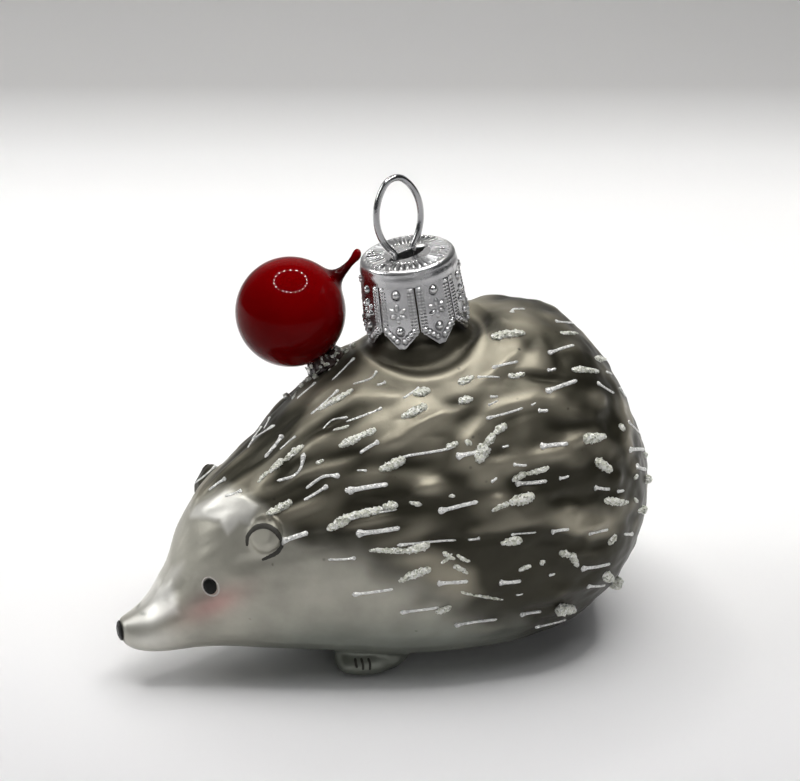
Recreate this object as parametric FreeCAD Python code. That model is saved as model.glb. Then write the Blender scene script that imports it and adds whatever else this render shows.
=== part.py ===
"""Mouth-blown glass hedgehog ornament with a red glass apple on its back, a stamped crown cap and a wire hanger.

Millimetres. The origin lies under the middle of the figure on the surface it stands on.
The snout points along -X, +Y is the figure's far flank and +Z is up.
"""

import FreeCAD, Part
import math
import os

V = FreeCAD.Vector
UP = V(0, 0, 1)
LENGTHWISE = V(1, 0, 0)
CROSSWISE = V(0, 1, 0)

# Blown glass body. Its sections are polygons joined by smooth gores that run from snout to rump,
# as the quills do.
body_length = 86.6
body_height = 53.8
body_width = 49.0
glass_wall = 1.0
gore_count = 32
cavity_side_count = 16
overrun = 2.0
lobe_side_count = 12
lobe_ring_count = 5
enamel_side_count = 14
enamel_ring_count = 5

# Body sections from snout to rump: place along the body, top and bottom as shares of the height,
# half width as a share of half the width, height of the widest line between bottom and top,
# and how square the belly is.
BODY_SECTION_SHARES = [
    (0.000, 0.212, 0.147, 0.066, 0.50, 2.0),
    (0.014, 0.217, 0.125, 0.114, 0.50, 2.0),
    (0.045, 0.240, 0.108, 0.176, 0.48, 2.0),
    (0.077, 0.294, 0.102, 0.229, 0.46, 2.0),
    (0.103, 0.379, 0.100, 0.278, 0.45, 2.0),
    (0.129, 0.480, 0.099, 0.335, 0.43, 2.0),
    (0.175, 0.582, 0.091, 0.424, 0.42, 2.0),
    (0.243, 0.658, 0.074, 0.547, 0.42, 2.1),
    (0.335, 0.781, 0.050, 0.702, 0.42, 2.2),
    (0.449, 0.900, 0.018, 0.857, 0.42, 2.4),
    (0.585, 0.978, 0.007, 0.971, 0.43, 2.6),
    (0.710, 1.000, 0.007, 1.000, 0.44, 2.6),
    (0.823, 0.961, 0.039, 0.939, 0.45, 2.4),
    (0.911, 0.822, 0.134, 0.757, 0.46, 2.1),
    (0.962, 0.664, 0.242, 0.504, 0.47, 2.0),
    (0.991, 0.528, 0.335, 0.245, 0.48, 2.0),
    (1.000, 0.461, 0.394, 0.069, 0.50, 2.0),
]
CAVITY_SECTION_ROWS = (4, 5, 6, 8, 10, 11, 12, 13, 14, 15)
half_step_share = 0.5

# Neck that carries the cap, measured along its own leaning axis from its root
neck_along_share = 0.565
neck_root_height = 51.5
neck_lean_deg = 8.5
neck_height = 12.7
neck_radius = 6.5
neck_wall = 1.3
neck_side_count = 24
rim_chamfer = 0.6
boss_radius = 8.3
boss_rise = 1.3
valley_depth = 1.0
valley_floor_width = 1.4
valley_bank_width = 2.6
collar_radius = 12.6
collar_thickness = 1.3

# Feet
foot_length = 13.0
foot_width = 8.0
foot_height = 5.0
sole_depth = 0.5
front_foot_spacing = 19.0
front_foot_along_share = 0.429
rear_foot_spacing = 15.0
rear_foot_along_share = 0.710

# Ears
ear_radius = 2.9
ear_thickness = 3.0
ear_stand = 0.5
ear_dish_radius = 2.1
ear_dish_depth = 0.5
ear_turn_deg = 24.0
near_ear_along_share = 0.236
near_ear_lean_deg = 49.0
far_ear_along_share = 0.198
far_ear_lean_deg = 40.0
head_core_height = 18.0

# Enamelled nose and eyes
nose_dome = 0.6
nose_overlap_share = 0.96
eye_width = 1.8
eye_height = 2.5
eye_dome = 0.35
eye_along_share = 0.140
eye_lean_deg = 64.0
eye_core_height = 15.0

# Red glass apple and the glue it sits in
apple_radius = 8.45
apple_wall = 0.7
apple_side_count = 24
apple_band_count = 14
hollow_ring_count = 6
apple_core_along_share = 0.5075
apple_core_height = 31.8
apple_forward_lean_deg = 27.6
apple_side_lean_deg = 22.1
glue_thickness = 1.4
glue_radius = 3.2
stalk_lean_deg = 58.4
stalk_length = 5.7
stalk_bend = 1.2
stalk_radius = 0.5
stalk_end_radius = 0.78
stalk_flare_radius = 1.5
stalk_flare_length = 0.9

# Stamped crown cap
cap_sheet = 0.3
cap_top_radius = 7.2
cap_bottom_radius = 8.0
cap_height = 12.2
cap_shoulder = 0.8
cap_band_height = 1.9
tongue_count = 8
cap_sides_per_tongue = 5
tongue_point_height = 2.5
tongue_tip_width = 1.0
slit_width = 0.28
slit_turn_deg = 28.0
slot_length = 6.7
slot_width = 2.3
slot_turn_deg = 13.0
flute_count = 36
flute_inner_radius = 4.1
flute_width = 0.34
flute_height = 0.22
flute_end_gap = 0.25
stud_radius = 0.5
stud_height = 0.3
stud_raise_share = 0.5

# Spring-wire hanger: a loop with two splayed legs that grip inside the neck
wire_diameter = 1.0
wire_side_count = 10
loop_half_width = 3.95
loop_half_height = 5.95
loop_side_radius = 7.4
loop_bend_radius = 1.1
leg_spread = 1.7
leg_splay_deg = 5.0
leg_length = 22.0
loop_clearance = 0.2
loop_shift = 0.5

# Raised strokes of glue and glitter that stand for the quills
quill_length = 3.6
quill_width = 0.8
quill_height = 0.35
quill_seat_gap = 0.03
quill_step_length = 7.2
quill_first_along_share = 0.25
quill_last_along_share = 0.93
quill_head_share = 0.3
quill_neck_clearance = 13.0
quill_apple_clearance = 6.5
quill_ear_clearance = 5.0
QUILL_GORES = (1, 2, 3, 4, 5, 6, 7, 8, 9)


def along(share):
    """The X of a place along the body, which is centred together with its nose."""
    return share * body_length - (body_length - nose_dome) / 2


def closed(points):
    return Part.makePolygon(points + points[:1])


def flat_sided(rings, split_sides):
    """A solid with flat faces between rings of as many corners each; twisted sides are split in two."""
    faces = [Part.Face(closed(rings[0])), Part.Face(closed(rings[-1]))]
    for lower, upper in zip(rings, rings[1:]):
        for i in range(len(lower)):
            k = (i + 1) % len(lower)
            if split_sides:
                faces.append(Part.Face(closed([lower[i], lower[k], upper[k]])))
                faces.append(Part.Face(closed([lower[i], upper[k], upper[i]])))
            else:
                faces.append(Part.Face(closed([lower[i], lower[k], upper[k], upper[i]])))
    return Part.Solid(Part.makeShell(faces))


def body_ring(row, sides, shift, inset):
    """Corners of the body's section of one row of the table, moved along by shift and drawn in by inset."""
    place, top_share, bottom_share, side_share, waist_share, belly = row
    top = top_share * body_height
    bottom = bottom_share * body_height
    waist = bottom + (top - bottom) * waist_share
    half_width = side_share * body_width / 2 - inset
    points = []
    for i in range(sides):
        angle = 2 * math.pi * (i + half_step_share) / sides
        across = math.sin(angle)
        upward = math.cos(angle)
        power = 1.0 if upward >= 0 else 2.0 / belly
        reach = top - waist if upward >= 0 else waist - bottom
        y = half_width * math.copysign(abs(across) ** power, across)
        z = waist + (reach - inset) * math.copysign(abs(upward) ** power, upward)
        points.append(V(along(place) + shift, y, z))
    return points


def body_skin():
    """The outside of the blown body without neck, feet and ears."""
    return Part.makeLoft([closed(body_ring(row, gore_count, 0, 0)) for row in BODY_SECTION_SHARES], True)


def body_cavity():
    """The hollow inside, one wall in from the outside, measured square to it."""
    rings = []
    for i in CAVITY_SECTION_ROWS:
        before = BODY_SECTION_SHARES[i - 1]
        after = BODY_SECTION_SHARES[i + 1]
        run = (after[0] - before[0]) * body_length
        swell = (after[1] - after[2] - before[1] + before[2]) * body_height / 2
        slope = math.atan2(swell, run)
        shift = glass_wall * math.sin(slope)
        inset = glass_wall * math.cos(slope)
        rings.append(body_ring(BODY_SECTION_SHARES[i], cavity_side_count, shift, inset))
    return flat_sided(rings, True)


def lobe(centre, reach, across, outward, radii, sides, ring_count):
    """A rounded lobe with its three radii along the given directions, with flat facets."""
    corners = []
    for ring in range(ring_count):
        turn = math.pi * (ring + 1) / (ring_count + 1)
        points = []
        for i in range(sides):
            angle = 2 * math.pi * i / sides
            points.append(
                centre
                + reach * (radii[0] * math.sin(turn) * math.cos(angle))
                + across * (radii[1] * math.sin(turn) * math.sin(angle))
                + outward * (radii[2] * math.cos(turn))
            )
        corners.append(points)
    return flat_sided(corners, False)


def level_ring(radius, height, sides, turn_deg, shift):
    """Corners of a level polygon round the upright axis, moved along X by shift."""
    points = []
    for i in range(sides):
        angle = 2 * math.pi * i / sides + math.radians(turn_deg)
        points.append(V(radius * math.cos(angle) + shift, radius * math.sin(angle), height))
    return points


def turned_stack(profile, sides, turn_deg):
    """A solid turned round the upright axis with flat sides, from (radius, height) pairs in rising order."""
    return flat_sided([level_ring(radius, height, sides, turn_deg, 0) for radius, height in profile], False)


def side_direction(lean_deg, side):
    """The direction square to the body's length that leans from straight up towards one side."""
    lean = math.radians(lean_deg)
    return V(0, side * math.sin(lean), math.cos(lean))


def skin_seat(skin, core, direction):
    """The place where a line from inside the body leaves its skin, and the outward normal there."""
    ray = Part.LineSegment(core, core + direction * body_length)
    hits = []
    for gore in skin.Faces:
        in_reach = gore.BoundBox.intersect(core, direction)
        if in_reach and isinstance(gore.Surface, Part.BSplineSurface):
            for point in ray.intersectCS(gore.Surface)[0]:
                hits.append((V(point.X, point.Y, point.Z), gore.Surface))
    place, surface = max(hits, key=lambda hit: (hit[0] - core).Length)
    normal = surface.normal(*surface.parameter(place))
    return place, normal if normal.dot(direction) > 0 else -normal


def tangent_frame(normal, guide):
    """Two unit directions in the tangent plane: one along the guide, one square to it."""
    first = (guide - normal * guide.dot(normal)).normalize()
    return first, normal.cross(first).normalize()


def on_neck(shape):
    """Moves a shape built round its own upright axis onto the neck's leaning axis."""
    shape.Placement = neck_placement()
    return shape


def neck_placement():
    root = V(along(neck_along_share), 0, neck_root_height)
    return FreeCAD.Placement(root, FreeCAD.Rotation(CROSSWISE, -neck_lean_deg))


def neck_boss():
    """The rounded boss and the neck tube, still solid."""
    root = -valley_depth - collar_thickness
    profile = [
        (boss_radius, root),
        (boss_radius, -valley_depth),
        (boss_radius - rim_chamfer / 3, -valley_depth / 3),
        ((boss_radius + neck_radius) / 2, boss_rise / 2),
        (neck_radius, boss_rise),
        (neck_radius, neck_height - rim_chamfer),
        (neck_radius - rim_chamfer, neck_height),
    ]
    return on_neck(turned_stack(profile, neck_side_count, 0))


def neck_valley():
    """The soft ring-shaped valley round the boss, as the tool that cuts it."""
    floor_end = boss_radius + valley_floor_width
    bank_end = floor_end + valley_bank_width
    profile = [(floor_end, -valley_depth), (bank_end, boss_rise), (bank_end, neck_height)]
    return on_neck(turned_stack(profile, neck_side_count, 0))


def neck_bore():
    bore_radius = neck_radius - neck_wall
    floor = -valley_depth - collar_thickness - overrun
    profile = [(bore_radius, floor), (bore_radius, neck_height + overrun)]
    return on_neck(turned_stack(profile, neck_side_count, 0))


def neck_collar():
    """The thicker ring of glass that stays under the valley."""
    floor = -valley_depth - collar_thickness
    return on_neck(turned_stack([(collar_radius, floor), (collar_radius, neck_height)], neck_side_count, 0))


def feet():
    """Four lobes under the belly, flattened where they stand."""
    lobes = []
    radii = (foot_height / 2, foot_width / 2, foot_length / 2)
    for share, spacing in (
        (front_foot_along_share, front_foot_spacing),
        (rear_foot_along_share, rear_foot_spacing),
    ):
        for side in (-1, 1):
            centre = V(along(share), side * spacing / 2, foot_height / 2 - sole_depth)
            lobes.append(lobe(centre, UP, CROSSWISE, LENGTHWISE, radii, lobe_side_count, lobe_ring_count))
    return lobes


def ground_cut():
    """Everything under the surface that the figure stands on."""
    return Part.makeBox(
        body_length + 2 * overrun,
        body_width + 2 * overrun,
        foot_height,
        V(-body_length / 2 - overrun, -body_width / 2 - overrun, -foot_height),
    )


def ear_frame(skin, side):
    """The ear's seat on the head and its three directions: up the head, along the head, outward."""
    share, lean = (
        (near_ear_along_share, near_ear_lean_deg) if side < 0 else (far_ear_along_share, far_ear_lean_deg)
    )
    seat, normal = skin_seat(skin, V(along(share), 0, head_core_height), side_direction(lean, side))
    turned = FreeCAD.Rotation(UP, side * ear_turn_deg).multVec(normal)
    upward, lengthwise = tangent_frame(turned, UP)
    return seat, upward, lengthwise, turned


def ear(skin, side):
    seat, upward, lengthwise, outward = ear_frame(skin, side)
    radii = (ear_radius, ear_radius, ear_thickness / 2)
    centre = seat + outward * ear_stand
    return lobe(centre, upward, lengthwise, outward, radii, lobe_side_count, lobe_ring_count)


def ear_dish(skin, side):
    """The shallow hollow in the ear's face, as the tool that cuts it."""
    seat, upward, lengthwise, outward = ear_frame(skin, side)
    centre = seat + outward * (ear_stand + ear_thickness / 2)
    radii = (ear_dish_radius, ear_dish_radius, ear_dish_depth)
    return lobe(centre, upward, lengthwise, outward, radii, lobe_side_count, lobe_ring_count)


def glass_body(skin):
    solid = skin.cut(neck_valley())
    solid = solid.fuse([neck_boss()] + feet() + [ear(skin, side) for side in (-1, 1)])
    cavity = body_cavity().cut(neck_collar())
    solid = solid.cut([cavity, neck_bore(), ground_cut()] + [ear_dish(skin, side) for side in (-1, 1)])
    return solid


def nose_enamel():
    """The domed black oval on the blunt end of the snout."""
    first = BODY_SECTION_SHARES[0]
    middle = (first[1] + first[2]) / 2 * body_height
    centre = V(along(first[0]), 0, middle)
    radii = (
        (first[1] - first[2]) / 2 * body_height * nose_overlap_share,
        first[3] * body_width / 2 * nose_overlap_share,
        nose_dome,
    )
    whole = lobe(centre, UP, CROSSWISE, -LENGTHWISE, radii, enamel_side_count, enamel_ring_count)
    reach = 2 * max(radii)
    behind = Part.makeBox(reach, 2 * reach, 2 * reach, centre - V(0, reach, reach))
    return whole.cut(behind)


def eye_enamel(skin, side):
    core = V(along(eye_along_share), 0, eye_core_height)
    seat, normal = skin_seat(skin, core, side_direction(eye_lean_deg, side))
    upward, lengthwise = tangent_frame(normal, UP)
    radii = (eye_height / 2, eye_width / 2, eye_dome)
    return lobe(seat, upward, lengthwise, normal, radii, enamel_side_count, enamel_ring_count).cut(skin)


def apple_seat(skin):
    """Where the apple is glued to the back, and the direction in which it stands off."""
    forward = math.radians(apple_forward_lean_deg)
    outward = side_direction(apple_side_lean_deg, 1) * math.cos(forward) - LENGTHWISE * math.sin(forward)
    core = V(along(apple_core_along_share), 0, apple_core_height)
    return skin_seat(skin, core, outward)[0], outward


def apple_centre(skin):
    seat, outward = apple_seat(skin)
    return seat + outward * (glue_thickness + apple_radius)


def stalk_direction():
    lean = math.radians(stalk_lean_deg)
    return V(math.sin(lean), 0, math.cos(lean))


def apple_outside(skin):
    """The blown apple with its drawn stalk, which bends upwards on its way out."""
    flare_angle = math.asin(stalk_flare_radius / apple_radius)
    profile = []
    for band in range(1, apple_band_count):
        angle = math.pi * band / apple_band_count
        if math.pi - angle > flare_angle:
            profile.append((apple_radius * math.sin(angle), -apple_radius * math.cos(angle)))
    flare_foot = apple_radius * math.cos(flare_angle)
    tip = apple_radius + stalk_length
    profile += [
        (stalk_flare_radius, flare_foot),
        (stalk_radius + (stalk_flare_radius - stalk_radius) / 4, flare_foot + stalk_flare_length / 2),
        (stalk_radius, apple_radius + stalk_flare_length),
        (stalk_radius, tip - 3 * stalk_end_radius),
        (stalk_end_radius, tip - stalk_end_radius),
        (stalk_end_radius / 2, tip),
    ]
    rings = []
    for radius, height in profile:
        run_share = max(0, height - flare_foot) / (tip - flare_foot)
        rings.append(level_ring(radius, height, apple_side_count, 0, -stalk_bend * run_share ** 2))
    return in_apple_place(flat_sided(rings, False), skin)


def apple_hollow(skin):
    radius = apple_radius - apple_wall
    hollow = lobe(V(0, 0, 0), LENGTHWISE, CROSSWISE, UP, (radius,) * 3, cavity_side_count, hollow_ring_count)
    return in_apple_place(hollow, skin)


def in_apple_place(shape, skin):
    shape.Placement = FreeCAD.Placement(apple_centre(skin), FreeCAD.Rotation(UP, stalk_direction()))
    return shape


def apple_glue(skin, outside):
    """The drop of clear glue that fills the gap between the apple and the back."""
    seat, outward = apple_seat(skin)
    upward, lengthwise = tangent_frame(outward, LENGTHWISE)
    radii = (glue_radius, glue_radius, glue_thickness + glue_radius / 2)
    drop = lobe(seat, upward, lengthwise, outward, radii, lobe_side_count, lobe_ring_count)
    return drop.cut([skin, outside])


def cap_shell():
    """The crown's drawn sheet before its slot, slits and tongues are cut."""
    top = neck_height + cap_sheet
    tip = top - cap_height
    taper = (cap_bottom_radius - cap_top_radius) / (cap_height - cap_shoulder)
    outside = [
        (cap_bottom_radius, tip),
        (cap_top_radius, top - cap_shoulder),
        (cap_top_radius - cap_shoulder / 4, top - cap_shoulder / 3),
        (cap_top_radius - cap_shoulder, top),
    ]
    inside = [
        (cap_bottom_radius - cap_sheet + taper * overrun, tip - overrun),
        (cap_top_radius - cap_sheet, top - cap_shoulder - cap_sheet / 2),
        (cap_top_radius - cap_shoulder - cap_sheet / 2, neck_height),
    ]
    sides = tongue_count * cap_sides_per_tongue
    return turned_stack(outside, sides, slit_turn_deg).cut(turned_stack(inside, sides, slit_turn_deg))


def cap_slot():
    """The lens-shaped slot for the wire: where two round discs overlap."""
    disc_radius = (slot_length ** 2 + slot_width ** 2) / (4 * slot_width)
    offset = disc_radius - slot_width / 2
    height = cap_sheet + 2 * overrun
    discs = [
        Part.makeCylinder(disc_radius, height, V(0, side * offset, neck_height - overrun)) for side in (-1, 1)
    ]
    slot = discs[0].common(discs[1])
    slot.rotate(V(0, 0, 0), UP, slot_turn_deg)
    return slot


def tongue_gaps():
    """The straight slits between the tongues, each opening into the notch that points two tongues."""
    top = neck_height + cap_sheet
    tip = top - cap_height
    slit_top = top - cap_shoulder - cap_band_height
    half_pitch = math.pi * cap_bottom_radius / tongue_count
    half_notch = half_pitch - tongue_tip_width / 2
    steepness = half_notch / tongue_point_height
    outline = [
        (-slit_width / 2, slit_top),
        (slit_width / 2, slit_top),
        (slit_width / 2, tip + tongue_point_height),
        (half_notch + overrun * steepness, tip - overrun),
        (-half_notch - overrun * steepness, tip - overrun),
        (-slit_width / 2, tip + tongue_point_height),
    ]
    inner = cap_top_radius - cap_shoulder
    face = Part.Face(closed([V(inner, across, height) for across, height in outline]))
    gap = face.extrude(V(cap_bottom_radius + overrun - inner, 0, 0))
    gaps = []
    for i in range(tongue_count):
        turned = gap.copy()
        turned.rotate(V(0, 0, 0), UP, slit_turn_deg + 360 * i / tongue_count)
        gaps.append(turned)
    return gaps


def cap_flutes():
    """The radial flutes stamped round the slot."""
    top = neck_height + cap_sheet
    outer = cap_top_radius - cap_shoulder - flute_end_gap
    section = [
        V(flute_inner_radius, -flute_width / 2, top - cap_sheet / 2),
        V(flute_inner_radius, flute_width / 2, top - cap_sheet / 2),
        V(flute_inner_radius, flute_width / 4, top + flute_height),
        V(flute_inner_radius, -flute_width / 4, top + flute_height),
    ]
    flute = Part.Face(closed(section)).extrude(V(outer - flute_inner_radius, 0, 0))
    flutes = []
    for i in range(flute_count):
        turned = flute.copy()
        turned.rotate(V(0, 0, 0), UP, 360 * i / flute_count)
        flutes.append(turned)
    return flutes


def cap_studs():
    """One raised stud in the middle of each tongue."""
    top = neck_height + cap_sheet
    raise_height = top - cap_height * stud_raise_share
    taper = (cap_bottom_radius - cap_top_radius) / (cap_height - cap_shoulder)
    surface = cap_top_radius + taper * (top - cap_shoulder - raise_height)
    start = V(surface - cap_sheet / 2, 0, raise_height)
    stud = Part.makeCone(stud_radius, stud_radius / 2, cap_sheet / 2 + stud_height, start, LENGTHWISE)
    studs = []
    for i in range(tongue_count):
        turned = stud.copy()
        turned.rotate(V(0, 0, 0), UP, slit_turn_deg + 360 * (i + half_step_share) / tongue_count)
        studs.append(turned)
    return studs


def crown_cap():
    cap = cap_shell().cut([cap_slot()] + tongue_gaps())
    return on_neck(cap.fuse(cap_flutes() + cap_studs()))


def hanger_half_path():
    """Corners of the right half of the wire's centre line, from the crown of the loop to the leg's end.

    Each arc is given as its middle and end point; the leg is a straight line. U is across, W is up.
    """
    side_centre = -(loop_side_radius - loop_half_width)
    reach = loop_side_radius - loop_half_height
    crown_centre = (side_centre ** 2 - reach ** 2) / (2 * reach)
    crown_radius = loop_half_height - crown_centre
    blend = math.atan2(crown_centre, -side_centre)
    splay = math.radians(leg_splay_deg)
    bend_centre_u = leg_spread + loop_bend_radius * math.cos(splay)
    swing = loop_side_radius + loop_bend_radius
    lower = math.acos((bend_centre_u - side_centre) / swing)
    bend_centre_w = -swing * math.sin(lower)

    def crown(angle):
        return crown_radius * math.cos(angle), crown_centre + crown_radius * math.sin(angle)

    def side(angle):
        return side_centre + loop_side_radius * math.cos(angle), loop_side_radius * math.sin(angle)

    def bend(angle):
        return (
            bend_centre_u + loop_bend_radius * math.cos(angle),
            bend_centre_w + loop_bend_radius * math.sin(angle),
        )

    bend_start = math.pi - lower
    bend_end = math.pi + splay
    leg_top = bend(bend_end)
    leg_end = (leg_top[0] + leg_length * math.sin(splay), leg_top[1] - leg_length * math.cos(splay))
    crown_middle = crown((math.pi / 2 + blend) / 2)
    return [
        (crown(math.pi / 2), crown_middle, crown(blend)),
        (side(blend), side((blend - lower) / 2), side(-lower)),
        (bend(bend_start), bend((bend_start + bend_end) / 2), leg_top),
        (leg_top, leg_end),
    ]


def wire_section(centre, direction):
    """The round wire's section as a polygon square to its direction."""
    first, second = tangent_frame(direction, CROSSWISE)
    points = []
    for i in range(wire_side_count):
        angle = 2 * math.pi * i / wire_side_count
        points.append(centre + (first * math.cos(angle) + second * math.sin(angle)) * (wire_diameter / 2))
    return closed(points)


def wire_hanger():
    """The bent wire, swept along its centre line in the plane of the slot."""
    pieces = hanger_half_path()
    leg_top = pieces[-1][0]
    lift = neck_height + cap_sheet + loop_clearance - leg_top[1]

    def placed(point, side):
        return V(side * point[0] - loop_shift, 0, point[1] + lift)

    edges = []
    for side, ordered in ((-1, list(reversed(pieces))), (1, pieces)):
        for piece in ordered:
            points = [placed(p, side) for p in (reversed(piece) if side < 0 else piece)]
            edges.append(Part.Arc(*points).toShape() if len(points) == 3 else Part.makeLine(*points))
    path = Part.Wire(edges)
    splay = math.radians(leg_splay_deg)
    start = placed(pieces[-1][1], -1)
    ring = wire_section(start, V(math.sin(splay), 0, math.cos(splay)))
    hanger = path.makePipeShell([ring], True, True)
    hanger.rotate(V(0, 0, 0), UP, slot_turn_deg)
    hanger.Placement = neck_placement().multiply(hanger.Placement)
    return hanger


def quill(tail, crown, head, normal):
    """One raised stroke over three places on the skin: a low ridge, widest near its head."""
    lift = quill_seat_gap + max(0, (crown - (tail + head) / 2).dot(normal))
    tail = tail + normal * lift
    head = head + normal * lift
    run = head - tail
    across = normal.cross(run).normalize()
    shoulder = head - run * quill_head_share
    middle = (tail + shoulder) / 2
    half = across * (quill_width / 2)
    rim = [tail, middle - half / 2, shoulder - half, head, shoulder + half, middle + half / 2]
    crest = shoulder + normal * quill_height
    faces = [Part.Face(closed(rim))]
    for first, second in zip(rim, rim[1:] + rim[:1]):
        faces.append(Part.Face(closed([first, second, crest])))
    return Part.Solid(Part.makeShell(faces))


def quill_strokes(skin, side):
    """The strokes of one flank, in rows along the gores, each row half a step behind the last."""
    kept_clear = (
        (V(along(neck_along_share), 0, neck_root_height), quill_neck_clearance),
        (apple_seat(skin)[0], quill_apple_clearance),
        (ear_frame(skin, side)[0], quill_ear_clearance),
    )
    first = along(quill_first_along_share)
    last = along(quill_last_along_share)
    strokes = []
    for row in QUILL_GORES:
        direction = side_direction(360 * row / gore_count, side)
        x = first + quill_step_length / 2 * (row % 2)
        while x + quill_length < last:
            cores = [V(x + quill_length * step / 2, 0, head_core_height) for step in range(3)]
            tail, crown, head = [skin_seat(skin, core, direction) for core in cores]
            if all((crown[0] - place).Length > clearance for place, clearance in kept_clear):
                strokes.append(quill(tail[0], crown[0], head[0], crown[1]))
            x += quill_step_length
    return Part.makeCompound(strokes)


def main():
    os.makedirs("parts", exist_ok=True)
    skin = body_skin()
    outside = apple_outside(skin)
    nodes = {
        "glass_body": glass_body(skin),
        "glass_apple": outside.cut(apple_hollow(skin)),
        "apple_glue": apple_glue(skin, outside),
        "nose_enamel": nose_enamel(),
        "near_eye_enamel": eye_enamel(skin, -1),
        "far_eye_enamel": eye_enamel(skin, 1),
        "near_quill_strokes": quill_strokes(skin, -1),
        "far_quill_strokes": quill_strokes(skin, 1),
        "crown_cap": crown_cap(),
        "wire_hanger": wire_hanger(),
    }
    for name, shape in nodes.items():
        box = shape.optimalBoundingBox(False)
        print(
            f"{name}: solids {len(shape.Solids)} valid {shape.isValid()} volume {shape.Volume:.2f}"
            f" x {box.XMin:.2f}..{box.XMax:.2f} y {box.YMin:.2f}..{box.YMax:.2f} z {box.ZMin:.2f}..{box.ZMax:.2f}"
        )
        shape.exportStep(f"parts/{name}.step")


if __name__ == "__main__":
    main()
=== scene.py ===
import bmesh
import bpy
import math
import numpy as np
from mathutils import Matrix, Vector, noise
from mathutils.bvhtree import BVHTree


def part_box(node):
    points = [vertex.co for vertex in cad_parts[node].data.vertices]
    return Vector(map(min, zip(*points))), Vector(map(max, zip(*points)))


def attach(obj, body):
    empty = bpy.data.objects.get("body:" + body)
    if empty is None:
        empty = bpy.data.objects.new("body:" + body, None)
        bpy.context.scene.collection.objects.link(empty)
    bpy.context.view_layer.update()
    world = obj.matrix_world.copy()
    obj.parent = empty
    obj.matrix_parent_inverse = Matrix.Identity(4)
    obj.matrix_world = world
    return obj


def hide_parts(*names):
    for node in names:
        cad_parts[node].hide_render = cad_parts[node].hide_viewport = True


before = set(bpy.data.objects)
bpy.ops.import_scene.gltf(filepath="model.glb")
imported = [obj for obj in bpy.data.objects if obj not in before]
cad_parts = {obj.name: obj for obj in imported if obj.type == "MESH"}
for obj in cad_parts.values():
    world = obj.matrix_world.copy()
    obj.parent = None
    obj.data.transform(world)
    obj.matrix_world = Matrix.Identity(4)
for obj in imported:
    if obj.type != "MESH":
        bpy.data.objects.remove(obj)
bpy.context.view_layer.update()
rng = np.random.default_rng(7)
MM = 0.001

# Fineness of the body's mesh in mm, its smoothing steps, and the cap's columns and rows for each tongue
BODY_VOXEL = 0.36
BODY_SMOOTHING = 14
CAP_COLUMNS = 60
CAP_ROWS = 110

# Where the photograph was taken from, in mm, and its lens in pixels
PHOTO_SIZE = (800, 781)
CAMERA_AZIMUTH_DEG = -22.0
CAMERA_ELEVATION_DEG = 26.5
CAMERA_DISTANCE = 300.0
CAMERA_TARGET = Vector((2.9, 0.0, 25.8))
CAMERA_AIM_UP = 14.88
FOCAL_PIXELS = 1905.0
SENSOR_MM = 36.0
# Pixels for each mm on the near flank
PIXELS_PER_MM = 6.5

# The neck's axis and the cap on it, in mm
NECK_ROOT = Vector((5.929, 0.0, 51.5))
NECK_LEAN_DEG = 8.5
NECK_HEIGHT = 12.7
NECK_BORE_RADIUS = 5.2
CAP_SHEET = 0.3
CAP_TOP = NECK_HEIGHT + CAP_SHEET
CAP_HEIGHT = 12.2
CAP_TOP_RADIUS = 7.2
CAP_BOTTOM_RADIUS = 8.0
CAP_SHOULDER = 0.8
CAP_BAND = 1.9
TONGUES = 8
SLIT_WIDTH = 0.28
SLIT_TURN_DEG = 28.0
TONGUE_TOP = CAP_TOP - CAP_SHOULDER - CAP_BAND
TONGUE_LENGTH = TONGUE_TOP - (CAP_TOP - CAP_HEIGHT)
TONGUE_HALF_WIDTH = math.pi * CAP_BOTTOM_RADIUS / TONGUES - SLIT_WIDTH / 2
TONGUE_POINT = 2.5
TONGUE_TIP_WIDTH = 1.0
SLOT_LENGTH = 6.7
SLOT_WIDTH = 3.0
SLOT_TURN_DEG = 13.0

# Stamping of the cap in mm: flutes of the top, then bosses of a tongue by their distance below its top
FLUTES = 42
FLUTE_START = 3.6
FLUTE_END = 6.25
UPPER_BOSS = (0.95, 0.56)
LOWER_BOSS = (6.7, 0.54)
BOSS_HEIGHT = 0.46
STAR_DOWN = 3.9
STAR_RADIUS = 0.95
RIB_ROWS = [(0.40, 0.23), (0.95, 0.20)]
RIB_PITCH = 0.50
RIB_HEIGHT = 0.16
EDGE_BEADS = 4
EDGE_BEAD = 0.38

# The bowl round the neck: its length and width as shares of a circle's, and its radii in mm
BOWL_SHARES = (0.87, 1.05)
BOWL_RIM = 11.0
BOWL_CREST = 10.7
BOWL_VALLEY = 9.1

# The wire hanger, in mm
WIRE_RADIUS = 0.5
LOOP_HALF_WIDTH = 3.95
LOOP_HALF_HEIGHT = 5.95
LOOP_SIDE_RADIUS = 7.4
LOOP_BEND_RADIUS = 1.1
LEG_SPREAD = 1.7
LEG_SPLAY_DEG = 5.0
LEG_LENGTH = 22.0
LOOP_CLEARANCE = 0.2
LOOP_SHIFT = 0.5

# The apple, in mm, and the number of shards in its glue
APPLE_CENTRE = Vector((-11.511, 8.967, 53.883))
APPLE_FOOT = Vector((-6.9, 5.7, 45.8))
APPLE_RADIUS = 8.45
STALK_LEAN_DEG = 58.4
STALK_LENGTH = 5.7
STALK_BEND = 1.2
FLARE_RADIUS = 2.9
GLUE_CHIPS = 120

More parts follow.
